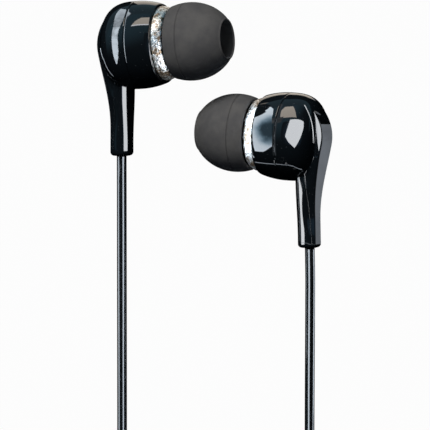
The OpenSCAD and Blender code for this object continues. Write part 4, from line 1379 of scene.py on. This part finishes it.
@dataclass
class CordSet:
    """The three cords with their ties, the splitter and the plug. Sizes in millimetres."""

    routes: CordRoutes
    branch_d: float = 1.6
    main_d: float = 2.0
    near_turn: float = 0.125
    far_turn: float = 0.625
    splitter_x: float = -4.0
    splitter_y: float = -104.0
    splitter_z: float = 1.8
    splitter_round: float = 0.9
    parting_deep: float = 0.07
    parting_half: float = 0.02
    plug_x: float = -16.5
    plug_y: float = -128.5
    grip_r: float = 2.75
    relief_len: float = 6.0
    grip_len: float = 13.0
    ribs: int = 6
    rib_step: float = 0.9
    rib_r: float = 1.45
    rib_grow: float = 0.11
    rib_groove: float = 0.22
    pin_r: float = 1.75
    pin_hole: float = 0.9
    sleeve_len: float = 6.6
    band_len: float = 0.6
    ring_len: float = 2.2
    edge: float = 0.06
    plug_steps: int = 80
    plug_sharp: float = 32.0

    def hank_tie(self, side: Side, run: float, lane: float, way: float) -> Piece:
        """Builds the strap round the waist of a hank.

        Args:
            side: The ear that the hank belongs to.
            run: Length of the hank's runs.
            lane: Place across of its start.
            way: Direction across, 1 or -1.

        Returns:
            The strap.
        """
        r = self.routes
        near = r.hank_inner + r.hank_step * (r.in_turns - self.near_turn) - r.waist + r.branch_z
        far = r.hank_inner + r.hank_step * (r.in_turns - self.far_turn) - r.waist + r.branch_z
        low, high = (-near, far) if way > 0 else (-far, near)
        middle = lane + way * (r.hank_inner + r.hank_step * r.in_turns)
        bm = Strap(low, high, r.tie_lift, r.tie_lift + self.branch_d + r.hank_rise).mesh()
        place = Matrix.Scale(MM, 4) @ Matrix.Translation((middle, r.hank_start - run / 2, 0))
        return finished(f"{side.value}_hank_strap", bm, place, TIE, Body.SET, (f"{side.value}_hank_tie",))

    def coil_tie(self) -> Piece:
        """Builds the strap round one side of the coil.

        Returns:
            The strap.
        """
        r = self.routes
        bm = Strap(r.coil_inner - r.main_z, r.coil_inner + r.coil_step * r.coil_turns + r.main_z, r.tie_lift,
                   r.tie_lift + self.main_d + (r.coil_layers - 1) * r.coil_rise).mesh()
        place = (Matrix.Scale(MM, 4) @ Matrix.Translation((r.coil_x, r.coil_y, 0))
                 @ Matrix.Rotation(radians(r.tie_angle), 4, "Z"))
        return finished("main_coil_strap", bm, place, TIE, Body.SET, ("main_coil_tie",))

    def splitter(self) -> Piece:
        """Builds the tapered splitter with rounded edges and a parting groove.

        Returns:
            The splitter.
        """
        rings = []
        marks = [(0.0, 2.3, 1.2), (0.08, 2.55, 1.45), (0.25, 2.78, 1.64), (0.6, 2.96, 1.78), (1.2, 3.0, 1.8),
                 (4.0, 2.9, 1.8), (7.0, 2.35, 1.8), (9.2, 2.0, 1.79), (10.2, 1.9, 1.76), (10.6, 1.82, 1.66),
                 (10.85, 1.68, 1.5), (11.0, 1.45, 1.25)]
        line, cut, bend = self.parting_half, self.parting_deep, self.splitter_round
        for along, half, deep in marks:
            side = [(half, -deep, bend), (half, -line, 0.05), (half - cut, 0.0, line), (half, line, 0.05),
                    (half, deep, bend)]
            other = [(-x, z, size) for x, z, size in reversed(side)]
            rings.append([Vector((self.splitter_x + x, self.splitter_y - along, self.splitter_z + z))
                          for x, z in rounded(side + other, 5, (0.1, 0.9))])
        return finished("cord_splitter", lofted(rings), Matrix.Scale(MM, 4), BLACK, Body.SET, ("splitter",))

    def relief(self) -> Outline:
        """Outline of the ribbed relief behind the plug's grip.

        Returns:
            Points of (distance from its cord end, radius).
        """
        outline = [(0.0, 1.02), (0.0, 1.3), (0.12, 1.42)]
        for i in range(self.ribs):
            at, r = 0.5 + i * self.rib_step, self.rib_r + i * self.rib_grow
            outline += [(at, r), (at + 0.1, r - self.rib_groove), (at + 0.35, r - self.rib_groove),
                        (at + 0.45, r + 0.03), (at + 0.85, r + 0.08)]
        return outline + [(5.85, 2.08), (self.relief_len, 2.1), (self.relief_len, 1.02)]

    def plug(self) -> list[Piece]:
        """Builds the plug's relief, grip and contacts.

        Returns:
            The pieces, from the cord to the tip.
        """
        r, hole, edge, band, end = self.pin_r, self.pin_hole, self.edge, self.band_len, self.ring_len
        handle = [(0.0, 1.0), (0.0, 2.2), (0.06, 2.42), (0.2, 2.62), (0.45, 2.73), (0.8, 2.75), (3.0, 2.72),
                  (6.0, 2.66), (9.4, 2.68), (9.5, 2.6), (9.7, 2.6), (9.8, 2.68), (10.0, 2.68), (10.1, 2.6),
                  (10.3, 2.6), (10.4, 2.69), (12.0, 2.72), (12.5, 2.64), (12.85, 2.4), (13.0, 2.15),
                  (13.0, 1.0)]
        sleeve = [(0.0, hole), (0.0, r), (self.sleeve_len - edge, r), (self.sleeve_len, r - edge),
                  (self.sleeve_len, hole)]
        insulator = [(0.0, hole), (0.0, r - 0.02), (band, r - 0.02), (band, hole)]
        ring = [(0.0, hole), (0.0, r - edge), (edge, r), (end - edge, r), (end, r - edge), (end, hole)]
        tip = [(0.0, 0.0), (0.0, r - edge), (edge, r), (0.45, r), (0.7, r - 0.1), (1.1, 1.45), (1.45, 1.28),
               (1.65, 1.25), (1.85, 1.3), (2.1, 1.48), (2.35, 1.58), (2.6, 1.56), (3.1, 1.2), (3.6, 0.82),
               (3.85, 0.6), (3.96, 0.4), (4.0, 0.2), (4.0, 0.0)]
        made, at = [], 0.0
        for node, name, outline, length, finish in (
                ("plug_relief", "cord_relief", self.relief(), self.relief_len, STRAIN),
                ("plug_grip", "plug_handle", handle, self.grip_len, BLACK),
                ("plug_sleeve", "sleeve_contact", sleeve, self.sleeve_len, CONTACT),
                ("plug_rear_insulator", "rear_band", insulator, band, INSULATOR),
                ("plug_ring", "ring_contact", ring, end, CONTACT),
                ("plug_front_insulator", "front_band", insulator, band, INSULATOR),
                ("plug_tip", "tip_contact", tip, 0.0, CONTACT)):
            place = (Matrix.Scale(MM, 4) @ Matrix.Translation((self.plug_x, self.plug_y - at, self.grip_r))
                     @ Matrix.Rotation(-pi / 2, 4, "Z"))
            bm = spun(outline, closed=outline[0][1] > 0, steps=self.plug_steps)
            made.append(finished(name, bm, place, finish, Body.SET, (node,), self.plug_sharp))
            at += length
        return made

    def build(self) -> None:
        r = self.routes
        plug = self.plug()
        cord = cord_curve("right_branch_cord", r.right_branch(), self.branch_d,
                          ("right_cord", "right_hank", "right_lead"))
        r.right.stem_end()
        self.hank_tie(Side.RIGHT, r.right_run, r.right_lane, 1)
        self.splitter()
        cord = cord_curve("left_branch_cord", r.left_branch(), self.branch_d,
                          ("left_cord", "left_hank", "left_lead"))
        r.left.stem_end()
        self.hank_tie(Side.LEFT, r.left_run, r.left_lane, -1)
        cord = cord_curve("main_cord", r.main(), self.main_d, ("main_lead_in", "main_coil", "main_lead_out"))
        self.coil_tie()


# ---------------------------------------------------------------- camera, floor and light
BLUE_WHITE = (0.8, 0.9, 1.0)
COOL = (0.93, 0.96, 1.0)
PALE = (0.81, 0.89, 1.0)
WARM = (1.0, 0.9, 0.78)
BLUE = (0.25, 0.5, 0.8)
TEAL = (0.45, 0.8, 1.0)
HOLLOW_BLUE = (0.42, 0.74, 1.0)
DARK = (0.0, 0.0, 0.0)
FAR = 3000.0
Rows = tuple[tuple[Place, Place], ...]


@dataclass(frozen=True)
class Card:
    """A sheet that only gloss mirrors, from its facing side. Rows of (start, end) in millimetres."""

    name: str
    rows: Rows
    strength: float = 0.0
    colour: Colour = DARK
    mottle: float = 0.0
    soft: float = 0.0
    hollow: Place | None = None
    hollow_span: tuple[float, float] = (8.0, 16.0)
    hollow_wander: float = 10.0
    hollow_share: float = 0.07
    facing: Place = (0.0, 0.0, 10.0)

    def glow(self, graph: Graph) -> tuple[object, object]:
        """Says how the card glows: evenly, in clouds, less in a hollow or fading to its edges.

        Args:
            graph: Nodes of its material.

        Returns:
            Strength and colour, each a value or a socket.
        """
        strength, colour = self.strength, (*self.colour, 1.0)
        if self.mottle:
            strength = graph.ramp(graph.noise(90.0, 3.0, 0.6), 0.4, 0.6, self.strength * (1 - self.mottle),
                                  self.strength)
        if self.hollow:
            low, high = Vector(self.hollow_span) * MM
            off = graph.math("MULTIPLY_ADD", graph.noise(120.0, 4.0), self.hollow_wander * MM,
                             graph.distance(Vector(self.hollow) * MM))
            strength = graph.ramp(off, low, high, self.strength * self.hollow_share, self.strength)
            colour = graph.blend(graph.ramp(off, low, high), HOLLOW_BLUE, self.colour)
        if self.soft:
            ends = [Vector(end) * MM for row in self.rows for end in row]
            middle = sum(ends, Vector()) / len(ends)
            strength = graph.ramp(graph.distance(middle), 0.0, self.soft * MM, self.strength, 0.0)
        return strength, colour

    def paint(self) -> bpy.types.Material:
        """Makes the card's material, which glows on one side and is clear from the other.

        Returns:
            The material.
        """
        made, graph = painted(self.name)
        strength, colour = self.glow(graph)
        glow = graph.add("Emission", Color=colour, Strength=strength).outputs["Emission"]
        behind = graph.add("NewGeometry").outputs["Backfacing"]
        clear = graph.add("BsdfTransparent").outputs["BSDF"]
        graph.add("OutputMaterial", Surface=graph.either(behind, glow, clear))
        return made

    def build(self) -> None:
        """Hangs the card as a ribbon through its rows."""
        bm = bmesh.new()
        edges = [bm.edges.new([bm.verts.new(Vector(end) * MM) for end in row]) for row in self.rows]
        for pair in zip(edges, edges[1:]):
            bmesh.ops.bridge_loops(bm, edges=pair)
        for face in bm.faces:
            face.normal_update()
            if face.normal.dot(Vector(self.facing) * MM - face.calc_center_median()) < 0:
                face.normal_flip()
        card = meshed(self.name, bm, self.paint())
        card.visible_camera = False
        card.visible_diffuse = False
        card.visible_shadow = False
        card.visible_transmission = False
        card.visible_volume_scatter = False


def ribbon(*rows: tuple[float, ...]) -> Rows:
    """Rows of a ribbon, each given by X, Y and Z of its start and then of its end."""
    return tuple((row[:3], row[3:]) for row in rows)


def crosswise(*rows: tuple[float, ...]) -> Rows:
    """Rows of a ribbon, each given by its place along Y and then X and Z of its two ends."""
    return ribbon(*((x, y, z, end_x, y, end_z) for y, x, z, end_x, end_z in rows))


def sheet(name: str, low: tuple[float, float], high: tuple[float, float], strength: float = 0.0,
          colour: Colour = DARK, mottle: float = 0.0, z: float = 0.3) -> Card:
    """Card that lies level over the floor and faces up.

    Args:
        name: Its name.
        low: Its corner with the least X and Y.
        high: The opposite corner.
        strength: Its glow.
        colour: Its colour.
        mottle: Share of the glow that comes in clouds.
        z: Its height.

    Returns:
        The card.
    """
    rows = crosswise((low[1], low[0], z, high[0], z), (high[1], low[0], z, high[0], z))
    return Card(name, rows, strength, colour, mottle)


CARDS = (
    Card("right_cord_outside", crosswise(
        (-5.3, -20.5, 5.3, -20.5, 8.2), (-30, -20.5, 2.7, -20.5, 5.8), (-54, -20.5, 1, -20.5, 3.8)),
        10.0, BLUE_WHITE),
    Card("right_cord_inside", crosswise(
        (-5.3, -13.95, 9.1, -12.5, 8.2), (-30, -13.95, 6.5, -12.5, 5.6), (-54, -13.95, 4.5, -12.5, 3.6)),
        15.0, BLUE_WHITE, facing=(-15, -30, 0)),
    Card("left_cord_inside", crosswise(*((y, 13.2, z, 15.1, z + 0.4) for y, z in (
        (-20.4, 13.5), (-28, 12.5), (-34, 10.5), (-40, 7.9), (-46, 5.7), (-54, 4.1)))),
        15.0, BLUE_WHITE),
    Card("left_cord_outside", crosswise(*((y, 20.5, low, 20.5, high) for y, low, high in (
        (-20.4, 8.7, 11), (-28, 7.8, 10.1), (-34, 5.7, 8), (-40, 3.1, 5.4), (-46, 1.1, 3.3),
        (-54, 0.6, 2.2)))), 10.0, BLUE_WHITE),
    Card("right_curtain", ribbon((-60, -5.25, 0.6, -4, -5.25, 0.6), (-60, -5.25, 12.5, -4, -5.25, 12.5))),
    Card("left_curtain", ribbon((-11, -20.3, 0.6, 60, -20.3, 0.6), (-11, -20.3, 14, 60, -20.3, 14))),
    Card("left_belly_line", crosswise(*((-20.1, *ends) for ends in (
        (-6.62, 4.08, -6.29, 3.22), (-3.21, 9.55, -2.88, 8.95), (0.39, 13.35, 0.72, 12.75),
        (3.75, 15.66, 3.95, 15.14), (8.82, 17.55, 8.88, 16.95), (12.98, 17.33, 12.92, 16.67),
        (16.47, 15.25, 16.33, 14.65), (21.11, 11.73, 20.79, 11.07)))),
        4.5, BLUE_WHITE),
    Card("rear_band_top", ribbon(
        (-19, 28, 4, -18, 29, 6), (-24, 31, 6, -19, 33, 11), (-32, 35, 12, -28, 36, 18),
        (-39, 34, 19, -34, 35, 25)), 7.0, BLUE_WHITE, 0.4),
    Card("rear_band", ribbon(
        (-39, 34, 19, -34, 35, 25), (-42, 25, 24, -37, 27, 30), (-43, 15, 27, -38, 15, 34),
        (-42, 5, 27, -37, 4, 33), (-40, -4, 25, -36, -5, 29), (-36, -11, 21, -35, -11, 22)),
        15.0, BLUE_WHITE, 0.4),
    Card("rear_floor_line", ribbon(
        (-21.5, 12.3, 0.5, -23, 12.3, 0.5), (-27.8, 7, 0.5, -30.5, 6, 0.5), (-27, 1.1, 0.5, -29.3, 1.1, 0.5),
        (-25.3, -4, 0.5, -27, -4, 0.5)), 3.0, BLUE_WHITE),
    Card("front_window_edge", ribbon((-20.5, 26.2, 21.5, -9, 26.2, 22.5), (-20, 27, 21, -9, 27, 22)), 11.0,
         COOL),
    Card("front_window", ribbon(
        (-20, 27, 21, -9, 27, 22), (-18, 30, 19, -9.5, 30, 19.5), (-15, 31.5, 17, -10, 31.5, 17)), 6.0, WARM),
    Card("cover_window", ribbon(
        (-1, 18, 28, 19, 19, 32), (2, 24, 20, 15, 25, 24), (5, 26, 16, 12, 27, 17)), 6.0, WARM),
    Card("dome_window", ribbon(
        (9, 15, 31, 30, 9, 25), (6, 7, 34, 31, 4, 26), (3, -2, 35, 29, -2, 30), (7, -8, 36, 24, -8, 33),
        (16, -13, 34, 17, -14, 34)), 15.0, COOL),
    Card("front_side", ribbon(
        (3.4, 13.3, 13, 3.8, 13.3, 13.2), (2.3, 12.6, 13.9, 4.2, 13, 15.4), (0.4, 11.4, 14.4, 3.8, 12, 17),
        (-1, 10.2, 14.3, 3.4, 11, 18.4), (-3.2, 7.8, 13, 2.6, 9, 20), (-4.5, 5.6, 14, 1.9, 6.8, 22),
        (-5.3, 2.6, 15.6, 1.3, 3.4, 23.7), (-5.6, -0.9, 16.8, 1.1, -0.6, 24.4),
        (-5.4, -4.5, 16.9, 1.1, -4.4, 24.3), (-4.8, -8, 15.9, 1.3, -8.3, 23.2),
        (-3.7, -10.6, 14.7, -1, -11.3, 18.5)), 13.0, BLUE_WHITE, hollow=(0.8, 1.6, 23.2)),
    Card("left_stem_facet", crosswise(
        (-9, 6.2, 18.5, 7.4, 19.6), (-16, 6.7, 18.5, 8.1, 19.8), (-22, 6.7, 18.4, 7.6, 19.2)),
        16.0, COOL),
    Card("facet_curtain", crosswise(*((-8.8, x, low, x, 25) for x, low in (
        (2, 16.3), (9.6, 16.3), (9.8, 16.1), (12, 16.1))))),
    Card("seam_shade", ribbon(
        (10.5, 3.6, 14.45, 10.95, 3.7, 14.65), (9.95, 1.95, 15.6, 10.35, 2, 15.8),
        (9.55, 0.1, 16.27, 9.95, 0.1, 16.5), (9.25, -1.8, 16.52, 9.68, -1.8, 16.75),
        (9.25, -4.15, 16.2, 9.68, -4.2, 16.42), (9.35, -5.3, 15.75, 9.76, -5.35, 15.95)),
        0.6, BLUE_WHITE),
    Card("dome_edge_line", ribbon(
        (14.79, 3.76, 14.66, 14.95, 3.74, 14.56), (15.37, 2.9, 15.12, 15.52, 2.88, 15),
        (15.84, 2, 15.3, 15.98, 2, 15.15), (16.25, 0.85, 15.28, 16.38, 0.83, 15.1),
        (16.52, -0.6, 15.1, 16.64, -0.6, 14.9), (16.62, -2, 14.84, 16.73, -2, 14.65),
        (16.64, -3.2, 14.6, 16.75, -3.2, 14.5)), 12.0, COOL),
    Card("cover_shade", crosswise(*((y, x, z, end, z) for y, x, end, z in (
        (3.1, 15.1, 16, 16.2), (1.2, 15.3, 16.36, 16.4), (-0.9, 15.3, 16.67, 16.4),
        (-2.9, 15.3, 16.86, 16.4), (-4.8, 15.3, 17.08, 16.3), (-6, 15.3, 17.8, 16.2))))),
    Card("stem_facet", ribbon((4, -12, 21, 4, -12, 31), (4, 9, 21, 4, 9, 31)), 15.0, COOL),
    Card("stem_shade", crosswise((-7, -20.5, 10, -17.5, 13), (8, -20.5, 10, -17.5, 13))),
    Card("ring_top", crosswise((9, -5, 26, 3, 26), (17, -5, 26, 3, 26)), 1.3, COOL, 0.6),
    Card("dome_glow", ribbon((-24, 44, 66, 72, 40, 50), (-24, -22, 66, 72, -22, 50)), 1.3, BLUE, soft=50.0),
    sheet("warm_floor_right", (-14, 23), (-3, 30), 1.3, WARM, z=0.4),
    sheet("warm_floor_left", (1, 9), (20, 13.8), 1.6, WARM, z=0.4),
    sheet("cool_floor_right", (24, -60), (45, 9), 0.95, PALE, 0.2, z=0.2),
    sheet("dark_front", (-FAR, -FAR), (24, 9)),
    sheet("dark_left", (-FAR, 9), (1, 22)),
    sheet("dark_rear_left", (-FAR, 22), (-14, 31)),
    sheet("dark_rear_right", (-3, 22), (FAR, 31)),
    sheet("dark_middle", (1, 13.8), (80, 22)),
    Card("dark_right", ribbon((24, 0.1, 0.3, 60, 29, 0.3), (20, 17, 0.3, 60, 40, 0.3))),
    sheet("dark_far_right", (45, -FAR), (FAR, 22)),
    sheet("dark_rear", (-FAR, 31), (FAR, FAR), 0.3, TEAL),
)


@dataclass
class Studio:
    """Camera, pale floor, soft lamps and the cards that the gloss mirrors. Camera sizes in millimetres."""

    eye: tuple[float, float] = (0.07, -14.7)
    height: float = 1200.0
    subject_z: float = 8.0
    width: float = 69.8
    sensor: float = 36.0
    near: float = 50.0
    far: float = 20000.0
    paper: tuple[Colour, Colour] = ((0.08, 0.085, 0.09), (0.1, 0.105, 0.11))
    paper_glow: float = 0.975
    air: Colour = (0.05, 0.06, 0.08)
    glow_from: Place = (-0.55, 0.8, 0.1)
    glow_span: tuple[float, float] = (0.15, 0.9)
    glow: Colour = (0.16, 0.34, 0.45)

    def camera(self) -> None:
        """Sets up the camera, straight above."""
        lens = bpy.data.cameras.new("camera")
        lens.sensor_width = self.sensor
        lens.lens = self.sensor * (self.height - self.subject_z) / self.width
        lens.clip_start, lens.clip_end = self.near * MM, self.far * MM
        eye = shown("camera", lens)
        eye.location = Vector((*self.eye, self.height)) * MM
        bpy.context.scene.camera = eye

    def floor(self) -> None:
        """Lays the paper floor, which takes shadows and looks nearly white to the camera and in mirrors."""
        bm = bmesh.new()
        bmesh.ops.create_grid(bm, x_segments=1, y_segments=1, size=FAR * MM)
        made, graph = painted("floor_paper")
        tone = graph.blend(graph.noise(40.0, 3.0), *self.paper)
        paper = graph.add("BsdfDiffuse", Color=tone).outputs["BSDF"]
        ray = graph.add("LightPath").outputs
        seen = graph.math("MAXIMUM", ray["Is Camera Ray"], ray["Is Glossy Ray"])
        seen = graph.math("MAXIMUM", seen, ray["Is Transmission Ray"])
        share = graph.math("MULTIPLY", seen, self.paper_glow)
        glow = graph.add("Emission", Strength=1.0).outputs["Emission"]
        graph.add("OutputMaterial", Surface=graph.either(share, paper, glow))
        meshed("floor", bm, made)

    def world(self) -> None:
        """Fills the studio with dim cool light, and its mirror images with a glow from the rear left."""
        sky = bpy.data.worlds.new("studio")
        bpy.context.scene.world = sky
        sky.use_nodes = True
        graph, nodes = Graph(sky.node_tree), sky.node_tree.nodes
        graph.fill(nodes["Background"], Color=(*self.air, 1.0))
        lean = graph.add("VectorMath", graph.add("TexCoord").outputs["Generated"], self.glow_from,
                         settings={"operation": "DOT_PRODUCT"}).outputs["Value"]
        glow = graph.add("Background", Color=graph.blend(graph.ramp(lean, *self.glow_span), DARK, self.glow))
        mirrored_sky = graph.add("LightPath").outputs["Is Glossy Ray"]
        graph.fill(nodes["World Output"], Surface=graph.either(
            mirrored_sky, nodes["Background"].outputs["Background"], glow.outputs["Background"]))

    def lamp(self, name: str, place: Place, size: float, power: float, colour: Colour) -> None:
        """Hangs a soft lamp that points at the set.

        Args:
            name: Name of the lamp.
            place: Its place in metres.
            size: Its width in metres.
            power: Its power in watts.
            colour: Its colour.
        """
        light = bpy.data.lights.new(name, "AREA")
        light.shape = "DISK"
        light.size = size
        light.energy = power
        light.color = colour
        lamp = shown(name, light)
        lamp.location = place
        lamp.rotation_euler = Vector(place).to_track_quat("Z", "Y").to_euler()
        lamp.visible_glossy = False

    def build(self) -> None:
        """Sets up everything round the set."""
        bpy.context.scene.view_settings.view_transform = "Standard"
        self.floor()
        self.world()
        self.lamp("key", (-0.26, 0.56, 0.71), 0.35, 12.4, (1.0, 0.98, 0.95))
        self.lamp("fill", (0.1, 0.1, 0.9), 0.6, 0.5, (0.9, 0.95, 1.0))
        for card in CARDS:
            card.build()
        LOG.info("studio: %d cards", len(CARDS))


def main() -> None:
    """Builds the set piece by piece."""
    logging.basicConfig(level=logging.INFO, format="%(name)s %(message)s")
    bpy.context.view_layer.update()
    studio = Studio()
    studio.camera()
    dome = Dome()
    right = Lie(Side.RIGHT, -21.5, 0.0)
    left = Lie(Side.LEFT, 158.5, 1.0)
    CordSet(CordRoutes(right, left)).build()
    for lie, tip_body in ((right, Body.RIGHT_TIP), (left, Body.LEFT_TIP)):
        Housing(lie, dome).build()
        StemAndCover(lie, dome).build()
        NozzleAndTip(lie, tip_body).build()
        Driver(lie.side).build()
    studio.build()


if __name__ == "__main__":
    main()
